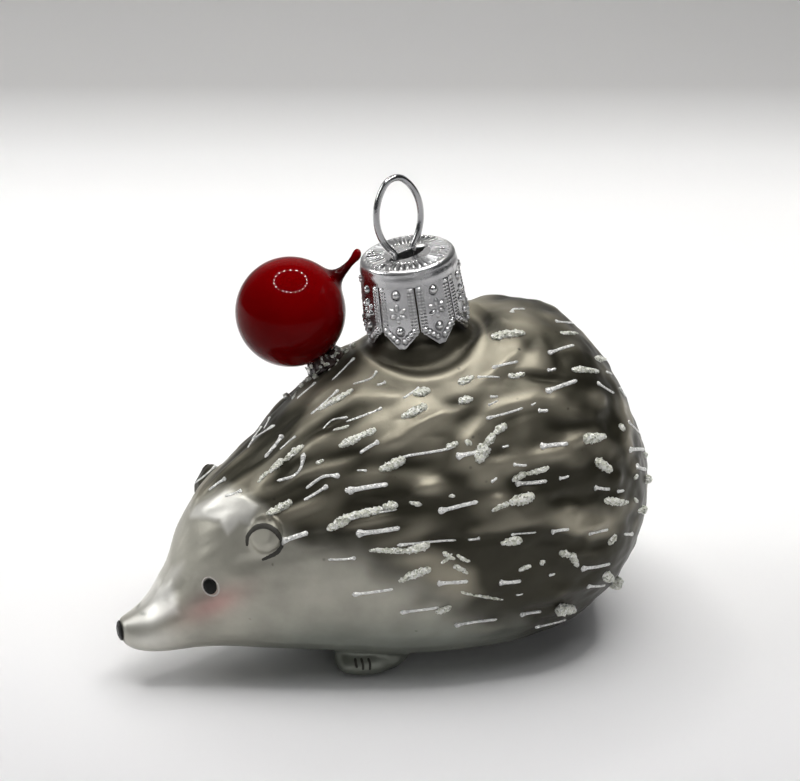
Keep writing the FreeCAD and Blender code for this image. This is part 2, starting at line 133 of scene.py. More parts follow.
# Raised strokes on the near flank: pixels of the bulb's and the tail's end, and the bulb's width in pixels.
# Thin silvery strokes, each with a bulb at its first end.
SILVER_STROKES = [
    (355, 358, 332, 380, 3.0), (316, 382, 297, 399, 3.4), (322, 365, 314, 373, 3.0),
    (311, 369, 305, 380, 4.0), (357, 335, 350, 346, 3.6), (295, 380, 285, 398, 2.4),
    (270, 417, 264, 429, 3.0), (262, 426, 252, 440, 2.8), (283, 435, 265, 458, 5.8),
    (296, 436, 280, 449, 2.6), (328, 486, 304, 500, 4.2), (281, 541, 308, 533, 7.0),
    (226, 478, 209, 490, 4.2), (216, 466, 192, 486, 3.4), (242, 491, 225, 496, 4.0),
    (339, 390, 311, 414, 3.4), (386, 382, 377, 385, 3.4), (379, 441, 360, 453, 4.6),
    (420, 388, 403, 398, 3.6), (347, 491, 388, 484, 6.4), (367, 471, 357, 470, 2.6),
    (356, 534, 400, 528, 6.4), (356, 558, 328, 560, 3.2), (438, 511, 478, 502, 5.6),
    (345, 491, 352, 489, 5.6), (480, 538, 468, 540, 3.2), (437, 584, 468, 581, 5.4),
    (352, 595, 393, 589, 4.2), (400, 613, 439, 607, 4.2), (454, 625, 497, 619, 5.0),
    (516, 595, 523, 594, 2.2), (499, 583, 521, 581, 5.6), (549, 575, 555, 574, 3.6),
    (520, 615, 541, 611, 5.0), (535, 627, 566, 620, 4.4), (581, 569, 610, 564, 5.4),
    (587, 587, 605, 585, 4.6), (589, 533, 608, 530, 4.6), (551, 532, 569, 529, 5.0),
    (511, 535, 536, 532, 2.4), (515, 484, 547, 481, 5.4), (513, 465, 527, 465, 3.4),
    (491, 482, 497, 478, 4.0), (559, 479, 569, 476, 3.4), (540, 446, 568, 444, 6.2),
    (502, 447, 509, 446, 3.0), (456, 457, 491, 449, 6.0), (594, 488, 610, 489, 4.6),
    (617, 491, 624, 491, 4.2), (629, 450, 644, 449, 5.4), (636, 466, 646, 470, 5.6),
    (633, 534, 624, 534, 4.4), (645, 531, 638, 535, 5.4), (555, 321, 576, 324, 3.8),
    (548, 353, 574, 345, 4.4), (595, 345, 604, 353, 3.0), (546, 392, 577, 380, 5.8),
    (547, 370, 556, 369, 4.0), (492, 368, 518, 361, 3.6), (477, 377, 500, 377, 2.6),
    (490, 397, 498, 396, 3.2), (488, 405, 498, 401, 2.4), (486, 419, 523, 408, 3.2),
    (531, 405, 536, 403, 2.6), (538, 411, 548, 410, 4.6), (597, 383, 614, 393, 4.0),
    (619, 388, 628, 399, 3.8), (606, 372, 612, 374, 3.4), (622, 380, 626, 385, 3.0),
    (628, 421, 641, 435, 3.6), (397, 545, 456, 540, 3.0), (349, 519, 397, 509, 3.0),
]
# Silvery strokes that bend: places from the bulb to the tail, and the bulb's width
SILVER_CURVES = [
    ([(275, 425), (256, 437), (248, 448)], 3.4), ([(304, 453), (301, 467), (293, 476), (277, 481)], 4.4),
    ([(340, 476), (323, 477), (306, 488)], 4.2), ([(377, 371), (371, 378), (353, 384)], 3.0),
    ([(382, 408), (372, 412), (346, 422)], 3.0), ([(348, 417), (333, 420), (323, 429)], 2.4),
    ([(512, 313), (514, 309), (525, 309)], 4.2), ([(380, 470), (404, 457), (430, 452), (452, 448)], 3.6),
]
# Thick granular strokes of glue and glitter: the same numbers, the width being that of the middle.
GLITTER_STROKES = [
    (339, 342, 333, 354, 6.5), (274, 392, 284, 396, 5.5), (292, 399, 297, 392, 3.4),
    (304, 446, 284, 460, 7.5), (284, 460, 268, 472, 7.0), (268, 472, 258, 482, 5.0),
    (316, 462, 324, 461, 4.6), (292, 502, 266, 514, 8.5), (353, 389, 318, 411, 7.0),
    (376, 430, 357, 436, 6.5), (361, 435, 339, 447, 8.0), (430, 389, 413, 395, 9.5),
    (427, 406, 401, 417, 9.0), (405, 458, 379, 471, 10.0), (458, 443, 446, 446, 6.0),
    (397, 503, 383, 508, 9.0), (383, 508, 345, 518, 8.0), (352, 517, 327, 529, 9.5),
    (422, 504, 409, 503, 4.4), (455, 495, 449, 497, 4.0), (430, 545, 405, 551, 8.5),
    (409, 550, 369, 551, 6.0), (431, 568, 399, 581, 8.5), (451, 606, 435, 613, 7.5),
    (443, 552, 455, 560, 5.0), (453, 566, 468, 573, 5.0), (441, 564, 452, 554, 4.0),
    (457, 555, 470, 562, 4.5), (473, 596, 503, 599, 3.6), (461, 591, 473, 596, 3.0),
    (531, 565, 519, 571, 5.4), (540, 564, 545, 562, 5.0), (562, 606, 575, 612, 12.0),
    (559, 553, 572, 556, 7.0), (571, 554, 578, 566, 7.5), (604, 574, 622, 587, 11.0),
    (616, 537, 608, 543, 9.0), (522, 539, 501, 544, 8.5), (534, 495, 509, 503, 11.0),
    (509, 503, 492, 511, 6.0), (549, 467, 524, 475, 6.0), (526, 474, 512, 480, 8.0),
    (507, 425, 494, 433, 8.0), (494, 433, 485, 447, 7.5), (486, 445, 477, 462, 13.0),
    (595, 461, 612, 470, 10.5), (604, 501, 628, 502, 8.0), (645, 509, 638, 511, 6.5),
    (646, 477, 655, 480, 6.0), (634, 499, 638, 501, 4.6), (634, 477, 638, 476, 5.6),
    (491, 337, 525, 333, 10.0), (560, 332, 578, 334, 5.0), (595, 358, 606, 360, 6.5),
    (572, 370, 599, 371, 7.5), (508, 376, 525, 374, 5.6), (458, 384, 473, 376, 7.5),
    (458, 401, 473, 400, 8.0), (583, 438, 606, 437, 10.0), (619, 425, 625, 429, 7.0),
    (636, 408, 643, 416, 8.0), (642, 437, 649, 442, 8.0), (465, 443, 472, 443, 6.0),
    (446, 447, 456, 444, 5.4), (420, 575, 400, 580, 5.0), (349, 425, 333, 431, 3.0),
]
# Blobs of glue and glitter that stand proud of the outline: pixel and diameter in pixels
PROUD_BLOBS = [
    (641, 413, 8), (643, 439, 9), (639, 420, 6), (646, 479, 9), (644, 455, 6), (642, 509, 8), (640, 533, 8),
    (631, 560, 6), (614, 581, 14), (620, 577, 8), (634, 399, 6), (607, 360, 8), (623, 384, 6),
    (560, 608, 13), (287, 397, 7), (291, 391, 5), (309, 380, 6), (316, 377, 6), (325, 370, 6),
    (336, 362, 6), (346, 352, 6), (302, 386, 5), (354, 346, 5),
]
# Shares by which the eye is wider and higher than its solid, and by which its top leans to the snout
EYE_WIDEN = 0.42
EYE_HEIGHTEN = 0.08
EYE_TILT = -0.22
# The pale rim round the eye, in mm: half its height, half its length and its width
EYE_RIM = (1.43, 1.33, 0.24)
# Painted marks on the near side, in pixels: the ear's arc and the toes
EAR_ARC = [
    (247, 546), (248, 536), (255, 528), (264, 526), (273, 529), (280, 537), (281, 545), (276, 553),
    (262, 560),
]
TOE_MARKS = [
    [(355, 658), (356, 664), (357, 668)], [(361, 658), (363, 665), (363, 670)],
    [(368, 658), (370, 664), (370, 670)],
]
# The far ear in mm, its foot, and the far arc's shift from the near one's mirror along the body and up
FAR_EAR = (-25.9, 10.0, 29.0)
FAR_EAR_FOOT = Vector((-25.9, 10.0, 27.5))
FAR_EAR_SHIFT = (-3.3, 2.7)

# Painted colours
BACK_DARK = (0.038, 0.035, 0.023)
# The back's lighter lacquer, also used as painted highlight on ridges and on the neck bowl's rim
BACK_LIGHT_AND_HIGHLIGHT = (0.325, 0.300, 0.232)
PEARL = (0.41, 0.398, 0.340)
# White lacquer of the face's patches, partly standing for painted highlights
WHITE_PEARL_AND_HIGHLIGHT = (0.86, 0.85, 0.80)
# The pearl's tone in painted shade on the belly; also the nostril's smudge
SHADED_BELLY = (0.250, 0.262, 0.225)
BLUSH = (0.50, 0.255, 0.235)
# Painted shade in the bowl round the neck
NECK_BOWL_SHADE = (0.050, 0.045, 0.031)
SPECK = (0.02, 0.018, 0.014)
# The lower edge of the dark back, in pixels, from the forehead to the rump: x, y, softness
BACK_EDGE = [
    (176, 500, 5), (186, 502, 5), (200, 498, 6), (214, 489, 6), (228, 484, 6), (244, 490, 7), (262, 507, 7),
    (279, 526, 9), (300, 540, 15), (325, 547, 20), (355, 554, 24), (390, 572, 27), (430, 598, 31),
    (480, 624, 31), (540, 642, 28), (620, 654, 25), (690, 644, 25),
]
# Light patches in pixels: forehead, muzzle and brow; white lacquer that is partly painted highlight
FOREHEAD_PATCH = [
    (185, 513), (196, 506), (212, 498), (226, 490), (244, 497), (258, 506), (250, 524), (240, 522),
    (228, 534), (220, 521), (204, 518), (186, 517),
]
MUZZLE_PATCH = [
    (124, 622), (140, 612), (152, 598), (160, 588), (172, 584), (176, 598), (179, 612), (152, 626),
    (126, 627),
]
BROW_PATCH = [(158, 588), (172, 568), (184, 562), (180, 574), (170, 592), (164, 600)]
# Soft spots of paint in pixels: middle, and reach across and down
# Painted highlight on the upper flank
UPPER_FLANK_HIGHLIGHT = ((450, 395), (150.0, 52.0))
# Painted shade on the lower flank
LOW_FLANK_SHADE = ((530, 590), (120.0, 42.0))
CROWN = ((205, 470), (26.0, 22.0))
# Painted highlight on the lower side of the muzzle
MUZZLE_SIDE_HIGHLIGHT = ((150, 640), (30.0, 12.0))
# Painted shade over the ear
OVER_EAR_SHADE = ((264, 519), (15.0, 6.0))
NOSTRIL = ((144.0, 614.5), (4.0, 2.0))
CHEEK = (213.708, 604.09)
# Heights in mm of the body's relief: waves along the quills, creases, crumples, fine grain, light patches
WAVES = 0.30
CREASES = 0.34
CRUMPLES = 0.20
FINE_GRAIN = 0.10
FOREHEAD_RISE = 0.16
MUZZLE_RISE = 0.20
# Share of their height that the placed marks get
MARK_SHARE = 0.95
# Blown relief on the near flank in pixels: middle, half length, half width, turn in degrees, height in mm
RELIEF_MARKS = [
    (382, 397, 22, 8, 8, 0.5), (420, 424, 30, 6, 28, 0.7), (398, 441, 24, 7, 12, 0.5),
    (427, 487, 18, 9, 8, 0.7), (455, 404, 14, 6, 20, -0.5), (468, 441, 16, 8, 60, 0.5),
    (470, 415, 16, 9, 30, -0.4), (500, 366, 30, 7, 38, 0.6), (512, 404, 24, 8, 10, 0.5),
    (556, 402, 22, 12, -10, 0.5), (545, 378, 22, 5, -8, -0.6), (530, 345, 14, 7, 40, -0.4),
    (500, 500, 9, 7, 0, 0.6), (571, 514, 10, 8, 20, 0.9), (566, 498, 14, 6, 0, -0.7),
    (617, 478, 7, 5, 50, 0.6), (578, 440, 16, 6, 25, 0.5), (575, 425, 20, 6, 5, -0.5),
    (405, 465, 30, 9, 6, -0.5), (372, 505, 24, 7, -4, -0.4), (375, 520, 28, 5, 12, 0.5),
    (334, 478, 16, 7, 20, 0.4), (452, 478, 16, 9, 0, -0.4), (523, 482, 14, 10, 0, -0.5),
    (498, 452, 14, 9, 10, -0.5), (575, 350, 10, 16, 30, 0.4), (592, 330, 14, 7, -40, -0.4),
    (600, 400, 9, 14, 20, 0.5), (612, 425, 7, 12, 20, -0.5), (626, 440, 5, 12, 20, 0.5),
    (600, 545, 16, 6, 20, -0.5), (590, 526, 16, 5, 15, 0.5), (558, 540, 18, 7, 0, -0.5),
    (530, 522, 18, 6, 5, 0.4), (560, 590, 22, 6, 15, 0.5), (585, 600, 18, 6, 35, -0.5),
    (610, 560, 9, 14, -20, 0.5), (632, 520, 6, 14, -10, -0.5), (462, 572, 26, 9, 5, 0.4),
    (440, 540, 24, 7, 5, -0.5), (350, 400, 22, 7, 30, 0.4), (330, 425, 22, 6, 30, -0.5),
    (312, 445, 20, 7, 40, 0.4), (290, 470, 22, 7, 45, -0.4), (268, 480, 16, 8, 45, 0.4),
    (300, 500, 24, 7, 20, -0.4), (322, 470, 24, 7, 15, 0.5), (345, 455, 24, 6, 20, -0.4),
    (425, 372, 14, 5, 20, 0.3), (560, 318, 20, 6, -20, 0.4), (515, 322, 20, 7, -4, 0.4),
    (636, 470, 5, 10, 0, 0.5), (548, 455, 18, 6, 10, 0.4), (620, 500, 8, 10, 10, 0.4),
    (480, 530, 20, 6, 8, 0.4), (410, 590, 34, 10, 4, 0.3),
]
# Face relief on the near side, likewise: brow, forehead, cheek, muzzle and the folds round the eye
FACE_MARKS = [
    (168, 585, 18, 6, 62, 0.45), (186, 582, 16, 7, 50, -0.30), (205, 560, 18, 9, 40, 0.25),
    (200, 604, 24, 7, 14, 0.25), (180, 622, 24, 8, 14, 0.35), (208, 508, 16, 5, 12, 0.16),
    (232, 516, 10, 7, 40, 0.12), (250, 562, 22, 8, 10, -0.25), (232, 548, 16, 6, 60, -0.2),
    (270, 600, 34, 12, 6, 0.2),
]

# Large soft lamps: name, size, place and power; metres and watts
SOFT_PANELS = [
    ("overhead", (0.50, 0.45), (0.04, -0.12, 0.60), 1.4),
    ("left_window", (0.45, 0.40), (-0.62, 0.26, 0.42), 1.9),
    ("front_room", (0.80, 0.30), (0.10, -0.85, 0.26), 0.5),
]
LAMP_AIM = (0.0, 0.0, 0.03)
WORLD_STRENGTH = 0.06
# Rings of small lamps: name, middle, bead radius, count and strength; the apple's own shows in it as dots
RING_RADIUS = 0.265
RING_LAMPS = [
    ("room_ring", (0.03, 0.10, 0.62), 0.011, 34, 78.0),
    ("apple_ring", (0.0, 0.0, 0.55), 0.010, 20, 340.0),
]
# The white card in metres: half width, front and back of its floor, radius of its bend, and top
CARD_HALF = 1.1
CARD_FRONT = -1.1
CARD_BACK = 0.62
CARD_BEND = 0.25
CARD_TOP = 0.95
CARD_BEND_STEPS = 10
# The card's tone from 0.30 m before the object to 0.60 m behind it: share of the way, red, green, blue
# Painted light and shade: darker before the object, brightest just behind it, greyer further back
CARD_FALLOFF_TONES = [
    (0.05, (0.68, 0.68, 0.70)),
    (0.28, (0.68, 0.68, 0.695)),
    (0.37, (0.94, 0.94, 0.945)),
    (0.57, (0.98, 0.98, 0.985)),
    (0.63, (0.86, 0.865, 0.87)),
    (0.72, (0.54, 0.54, 0.54)),
    (0.87, (0.56, 0.56, 0.56)),
]


def photo_camera():
    """Place and three directions (right, up, forward) of the photograph's camera, in mm."""
    azimuth = math.radians(CAMERA_AZIMUTH_DEG)
    elevation = math.radians(CAMERA_ELEVATION_DEG)
    back = Vector((
        math.sin(azimuth) * math.cos(elevation),
        -math.cos(azimuth) * math.cos(elevation),
        math.sin(elevation),
    ))
    place = CAMERA_TARGET + back * CAMERA_DISTANCE
    first_right = (-back).cross(Vector((0, 0, 1))).normalized()
    first_up = first_right.cross(-back)
    aim = CAMERA_TARGET + first_up * CAMERA_AIM_UP
    forward = (aim - place).normalized()
    right = forward.cross(Vector((0, 0, 1))).normalized()
    return place, right, right.cross(forward), forward


EYE, RIGHT, UPWARD, FORWARD = photo_camera()


def pixel_ray(x, y):
    """Direction from the camera through a pixel."""
    across = (x - PHOTO_SIZE[0] / 2) / FOCAL_PIXELS
    down = (y - PHOTO_SIZE[1] / 2) / FOCAL_PIXELS
    return (FORWARD + RIGHT * across - UPWARD * down).normalized()


def to_pixels(points):
    """Pixels of many points in mm, as two arrays."""
    offset = points - np.array(EYE)
    depth = offset @ np.array(FORWARD)
    x = PHOTO_SIZE[0] / 2 + FOCAL_PIXELS * (offset @ np.array(RIGHT)) / depth
    y = PHOTO_SIZE[1] / 2 - FOCAL_PIXELS * (offset @ np.array(UPWARD)) / depth
    return x, y


# Meshes


def new_object(name, data):
    obj = bpy.data.objects.new(name, data)
    bpy.context.scene.collection.objects.link(obj)
    return obj


def add_mesh(name, points, faces, material, smooth=True):
    """A new object from points in mm."""
    mesh = bpy.data.meshes.new(name)
    mesh.from_pydata([tuple(c * MM for c in p) for p in points], [], faces)
    mesh.validate()
    if smooth:
        mesh.shade_smooth()
    else:
        mesh.shade_flat()
    mesh.materials.append(material)
    return new_object(name, mesh)


def tube_faces(rings, sides):
    """Faces of a tube of rings with its two ends closed."""
    faces = []
    for i in range(rings - 1):
        for k in range(sides):
            n = (k + 1) % sides
            faces.append((i * sides + k, i * sides + n, (i + 1) * sides + n, (i + 1) * sides + k))
    faces.append(tuple(reversed(range(sides))))
    faces.append(tuple((rings - 1) * sides + k for k in range(sides)))
    return faces


def append_part(points, faces, more_points, more_faces):
    """Adds one part's points and faces to those of a mesh."""
    base = len(points)
    points += more_points
    faces += [tuple(base + i for i in face) for face in more_faces]


def apply_modifiers(obj):
    graph = bpy.context.evaluated_depsgraph_get()
    mesh = bpy.data.meshes.new_from_object(obj.evaluated_get(graph))
    obj.modifiers.clear()
    obj.data = mesh


def voxel_remesh(obj, voxel):
    remesh = obj.modifiers.new("remesh", "REMESH")
    remesh.mode = "VOXEL"
    remesh.voxel_size = voxel * MM
    apply_modifiers(obj)


def smooth_surface(obj, iterations):
    smoothing = obj.modifiers.new("smooth", "SMOOTH")
    smoothing.factor = 0.5
    smoothing.iterations = iterations
    apply_modifiers(obj)


def set_finish(obj, material):
    obj.data.shade_smooth()
    obj.data.materials.clear()
    obj.data.materials.append(material)


def mesh_points(obj):
    """Vertices of a mesh in mm, as an array."""
    co = np.empty(len(obj.data.vertices) * 3)
    obj.data.vertices.foreach_get("co", co)
    return co.reshape(-1, 3) / MM


def set_points(obj, points):
    obj.data.vertices.foreach_set("co", (points * MM).ravel())
    obj.data.update()


def mesh_normals(obj):
    normals = np.empty(len(obj.data.vertices) * 3)
    obj.data.vertices.foreach_get("normal", normals)
    return normals.reshape(-1, 3)


def write_colors(obj, layer_name, colors):
    """Colours, one for each vertex, as a layer of the mesh."""
    layer = obj.data.color_attributes.new(layer_name, "FLOAT_COLOR", "POINT")
    rgba = np.ones((len(colors), 4))
    rgba[:, :3] = colors
    layer.data.foreach_set("color", rgba.ravel())


def write_tones(obj, layer_name, tones):
    """Grey tones, one for each vertex, as a layer of the mesh."""
    write_colors(obj, layer_name, np.array(tones)[:, None])


def smooth_step(low, high, value):
    t = np.clip((value - low) / (high - low), 0, 1)
    return t * t * (3 - 2 * t)


def soft_noise(points, scale, seed):
    """Smooth noise from -1 to 1 at many points; scale is a size in mm for each axis."""
    offset = Vector((seed * 17.3, seed * 5.1, seed * 9.7))
    scaled = points / np.array(scale)
    return np.array([noise.noise(Vector(p) + offset) for p in scaled])


def soft_ring(distance, radius, reach):
    """1 at a radius, dying out over a reach to both sides."""
    return np.exp(-((distance - radius) / reach) ** 2)


def soft_spot(x, y, middle, reach):
    """1 at a pixel, dying out over a reach in pixels across and down."""
    return np.exp(-((x - middle[0]) / reach[0]) ** 2 - ((y - middle[1]) / reach[1]) ** 2)


# Materials


def new_material(name):
    material = bpy.data.materials.new(name)
    material.use_nodes = True
    tree = material.node_tree
    shader = tree.nodes["Principled BSDF"]
    return material, tree, shader


def add_noise(tree, scale, detail, coordinates):
    texture = tree.nodes.new("ShaderNodeTexNoise")
    texture.inputs["Scale"].default_value = scale
    texture.inputs["Detail"].default_value = detail
    tree.links.new(coordinates.outputs["Object"], texture.inputs["Vector"])
    return texture


def add_cells(tree, scale, coordinates):
    texture = tree.nodes.new("ShaderNodeTexVoronoi")
    texture.inputs["Scale"].default_value = scale
    tree.links.new(coordinates.outputs["Object"], texture.inputs["Vector"])
    return texture


def add_ramp(tree, factor, stops):
    ramp = tree.nodes.new("ShaderNodeValToRGB")
    while len(ramp.color_ramp.elements) < len(stops):
        ramp.color_ramp.elements.new(0.5)
    for element, (position, color) in zip(ramp.color_ramp.elements, stops):
        element.position = position
        element.color = (*color, 1)
    tree.links.new(factor, ramp.inputs["Fac"])
    return ramp.outputs["Color"]


def add_bump(tree, shader, height, strength, distance):
    bump = tree.nodes.new("ShaderNodeBump")
    bump.inputs["Strength"].default_value = strength
    bump.inputs["Distance"].default_value = distance
    tree.links.new(height, bump.inputs["Height"])
    tree.links.new(bump.outputs["Normal"], shader.inputs["Normal"])


def times_layer(tree, color, layer_name):
    """A colour multiplied by a layer of the mesh."""
    layer = tree.nodes.new("ShaderNodeVertexColor")
    layer.layer_name = layer_name
    product = tree.nodes.new("ShaderNodeMix")
    product.data_type = "RGBA"
    product.blend_type = "MULTIPLY"
    product.inputs["Factor"].default_value = 1.0
    tree.links.new(color, product.inputs["A"])
    tree.links.new(layer.outputs["Color"], product.inputs["B"])
    return product.outputs["Result"]


def add_specks(tree, color, coordinates):
    """Fine dark specks over a colour: the middles of some of the cells."""
    cells = add_cells(tree, 420, coordinates)
    middles = add_ramp(tree, cells.outputs["Distance"], [(0.0, (1, 1, 1)), (0.16, (0, 0, 0))])
    choice = add_noise(tree, 330, 0, coordinates)
    picked = add_ramp(tree, choice.outputs["Fac"], [(0.62, (0, 0, 0)), (0.68, (1, 1, 1))])
    both = tree.nodes.new("ShaderNodeMath")
    both.operation = "MULTIPLY"
    tree.links.new(middles, both.inputs[0])
    tree.links.new(picked, both.inputs[1])
    specked = tree.nodes.new("ShaderNodeMix")
    specked.data_type = "RGBA"
    tree.links.new(both.outputs["Value"], specked.inputs["Factor"])
    tree.links.new(color, specked.inputs["A"])
    specked.inputs["B"].default_value = (*SPECK, 1)
    return specked.outputs["Result"]


def set_inputs(node, settings):
    for socket, value in settings.items():
        node.inputs[socket].default_value = value


def clouded_material(name, scale, detail, stops, settings, layer_name=None):
    """A material whose colour drifts with fine noise; returns its tree, shader, coordinates and noise too."""
    material, tree, shader = new_material(name)
    coordinates = tree.nodes.new("ShaderNodeTexCoord")
    cloud = add_noise(tree, scale, detail, coordinates)
    color = add_ramp(tree, cloud.outputs["Fac"], stops)
    if layer_name:
        color = times_layer(tree, color, layer_name)
    tree.links.new(color, shader.inputs["Base Color"])
    set_inputs(shader, settings)
    return material, tree, shader, coordinates, cloud


def lacquer_material():
    """Satin lacquer over silvered glass: painted colours come from the mesh, with fine dark specks."""
    material, tree, shader = new_material("silvered_lacquer")
    coordinates = tree.nodes.new("ShaderNodeTexCoord")
    cloud = add_noise(tree, 160, 4, coordinates)
    cloud_tone = add_ramp(tree, cloud.outputs["Fac"], [(0.3, (0.82,) * 3), (0.7, (1.12,) * 3)])
    specked = add_specks(tree, times_layer(tree, cloud_tone, "paint"), coordinates)
    tree.links.new(specked, shader.inputs["Base Color"])
    set_inputs(shader, {"Metallic": 0.6, "Roughness": 0.41, "Specular IOR Level": 0.3})
    set_inputs(shader, {"Coat Weight": 0.08, "Coat Roughness": 0.3})
    grain = add_noise(tree, 900, 3, coordinates)
    add_bump(tree, shader, grain.outputs["Fac"], 0.12, 0.0003)
    return material


def metal_material(name, color, roughness, scale, layer_name=None):
    """Bright metal with faint stains; a mesh layer can darken the hollows of a stamping."""
    stops = [(0.35, tuple(c * 0.8 for c in color)), (0.6, color)]
    settings = {"Metallic": 1.0}
    material, tree, shader, coordinates, stain = clouded_material(name, scale, 5, stops, settings, layer_name)
    rough_stops = [(0.3, (roughness * 1.35,) * 3), (0.7, (roughness * 0.8,) * 3)]
    rough = add_ramp(tree, stain.outputs["Fac"], rough_stops)
    tree.links.new(rough, shader.inputs["Roughness"])
    grain = add_noise(tree, scale * 14, 2, coordinates)
    add_bump(tree, shader, grain.outputs["Fac"], 0.08, 0.0002)
    return material


def apple_material():
    """Red lacquer over glass; the mesh layer darkens it at the stalk's root."""
    stops = [(0.35, (0.098, 0.0, 0.0004)), (0.65, (0.125, 0.0, 0.0006))]
    settings = {"Roughness": 0.045, "Specular IOR Level": 0.055}
    return clouded_material("red_glass_lacquer", 90, 3, stops, settings, "root")[0]


def enamel_material():
    stops = [(0.3, (0.003, 0.003, 0.003)), (0.7, (0.009, 0.008, 0.007))]
    settings = {"Roughness": 0.4, "Specular IOR Level": 0.2}
    return clouded_material("black_enamel", 700, 3, stops, settings)[0]


def paint_material(name, color, roughness):
    stops = [(0.3, tuple(c * 0.75 for c in color)), (0.7, color)]
    return clouded_material(name, 900, 3, stops, {"Roughness": roughness})[0]


def glue_material():
    stops = [(0.35, (0.022, 0.012, 0.010)), (0.65, (0.10, 0.07, 0.062))]
    settings = {"Roughness": 0.16, "Transmission Weight": 0.15, "IOR": 1.48}
    return clouded_material("clear_glue", 500, 4, stops, settings)[0]


def stroke_material(name, color, dark, metallic, roughness):
    """Glue with glitter in it: grains that catch the light at different angles."""
    material, tree, shader = new_material(name)
    coordinates = tree.nodes.new("ShaderNodeTexCoord")
    cells = add_cells(tree, 3200, coordinates)
    value = tree.nodes.new("ShaderNodeSeparateColor")
    tree.links.new(cells.outputs["Color"], value.inputs["Color"])
    tone = add_ramp(tree, value.outputs["Red"], [(0.0, dark), (0.35, color), (1.0, (1.0, 1.0, 0.97))])
    tree.links.new(tone, shader.inputs["Base Color"])
    set_inputs(shader, {"Metallic": metallic, "Roughness": roughness})
    add_bump(tree, shader, cells.outputs["Distance"], 0.7, 0.0004)
    return material


LACQUER = lacquer_material()
CAP_METAL = metal_material("stamped_silver", (0.70, 0.70, 0.705), 0.26, 260, "stamp")
WIRE_METAL = metal_material("bright_wire", (0.50, 0.50, 0.505), 0.15, 200)
APPLE_RED = apple_material()
ENAMEL = enamel_material()
MARK_PAINT = paint_material("dark_paint", (0.034, 0.032, 0.024), 0.6)
RIM_PAINT = paint_material("pale_rim", (0.62, 0.58, 0.55), 0.4)
SILVER = stroke_material("silver_glitter", (0.96, 0.96, 0.94), (0.58, 0.58, 0.57), 0.15, 0.28)
GLITTER = stroke_material("glitter_glue", (0.78, 0.79, 0.68), (0.36, 0.37, 0.30), 0.1, 0.30)
GLUE = glue_material()


# The body's shape


def neck_matrix():
    """From the neck's own upright frame to the row frame, in mm."""
    return Matrix.Translation(NECK_ROOT) @ Matrix.Rotation(math.radians(-NECK_LEAN_DEG), 4, "Y")


def neck_plug(radius, bottom, top):
    """A closed round plug on the neck's axis."""
    mesh = bmesh.new()
    bmesh.ops.create_cone(
        mesh, cap_ends=True, segments=64, radius1=radius * MM, radius2=radius * MM, depth=(top - bottom) * MM
    )
    middle = Matrix.Translation(Vector((0, 0, (top + bottom) / 2)))
    place = neck_matrix() @ middle
    place.translation *= MM
    bmesh.ops.transform(mesh, matrix=place, verts=mesh.verts)
    data = bpy.data.meshes.new("neck_plug")
    mesh.to_mesh(data)
    return data


def body_without_hollow():
    """A closed copy of the body with the neck's bore plugged, remeshed finely; only its outside is kept."""
    mesh = bmesh.new()
    mesh.from_mesh(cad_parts["glass_body"].data)
    mesh.from_mesh(neck_plug(NECK_BORE_RADIUS + 0.4, -4.0, NECK_HEIGHT - 0.3))
    data = bpy.data.meshes.new("painted_glass_body")
    mesh.to_mesh(data)
    obj = new_object("painted_glass_body", data)
    voxel_remesh(obj, BODY_VOXEL)
    largest_island_only(obj)
    return obj


def island_of(start, seen):
    """All vertices that hang together with one; they are marked as seen."""
    seen[start.index] = True
    stack = [start]
    island = []
    while stack:
        vert = stack.pop()
        island.append(vert)
        for edge in vert.link_edges:
            other = edge.other_vert(vert)
            if not seen[other.index]:
                seen[other.index] = True
                stack.append(other)
    return island


def largest_island_only(obj):
    mesh = bmesh.new()
    mesh.from_mesh(obj.data)
    seen = np.zeros(len(mesh.verts), bool)
    islands = [island_of(vert, seen) for vert in mesh.verts if not seen[vert.index]]
    islands.sort(key=lambda verts: max(v.co.x for v in verts) - min(v.co.x for v in verts), reverse=True)
    for island in islands[1:]:
        bmesh.ops.delete(mesh, geom=island, context="VERTS")
    mesh.to_mesh(obj.data)
    mesh.free()


def neck_distance(points):
    """Distance from the neck's axis, in mm."""
    lean = math.radians(NECK_LEAN_DEG)
    axis = np.array((-math.sin(lean), 0.0, math.cos(lean)))
    offset = points - np.array(NECK_ROOT)
    height = offset @ axis
    return np.linalg.norm(offset - height[:, None] * axis, axis=1)


def bowl_distance(points):
    """Distance from the neck's axis in the oval bowl round it, in mm."""
    lean = math.radians(NECK_LEAN_DEG)
    offset = points - np.array(NECK_ROOT)
    lengthwise = offset @ np.array((math.cos(lean), 0.0, math.sin(lean)))
    return np.hypot(lengthwise / BOWL_SHARES[0], offset[:, 1] / BOWL_SHARES[1])


def distance_to_line(x, y, line):
    """Distance in pixels from each place to a line of points."""
    best = np.full(len(x), 1e9)
    for (x0, y0), (x1, y1) in zip(line, line[1:]):
        run_x, run_y = x1 - x0, y1 - y0
        t = np.clip(((x - x0) * run_x + (y - y0) * run_y) / (run_x ** 2 + run_y ** 2), 0, 1)
        best = np.minimum(best, np.hypot(x - x0 - t * run_x, y - y0 - t * run_y))
    return best


def dark_back_mask(x, y, wander):
    """1 on the dark back, 0 on face and belly, with the edge's own softness along it."""
    columns, edge, soft = np.array(BACK_EDGE, float).T
    softness = np.interp(x, columns, soft)
    distance = distance_to_line(x, y, [(p[0], p[1]) for p in BACK_EDGE])
    signed = np.where(y < np.interp(x, columns, edge), distance, -distance) + wander * softness * 0.6
    return smooth_step(-1.0, 1.0, signed / softness)


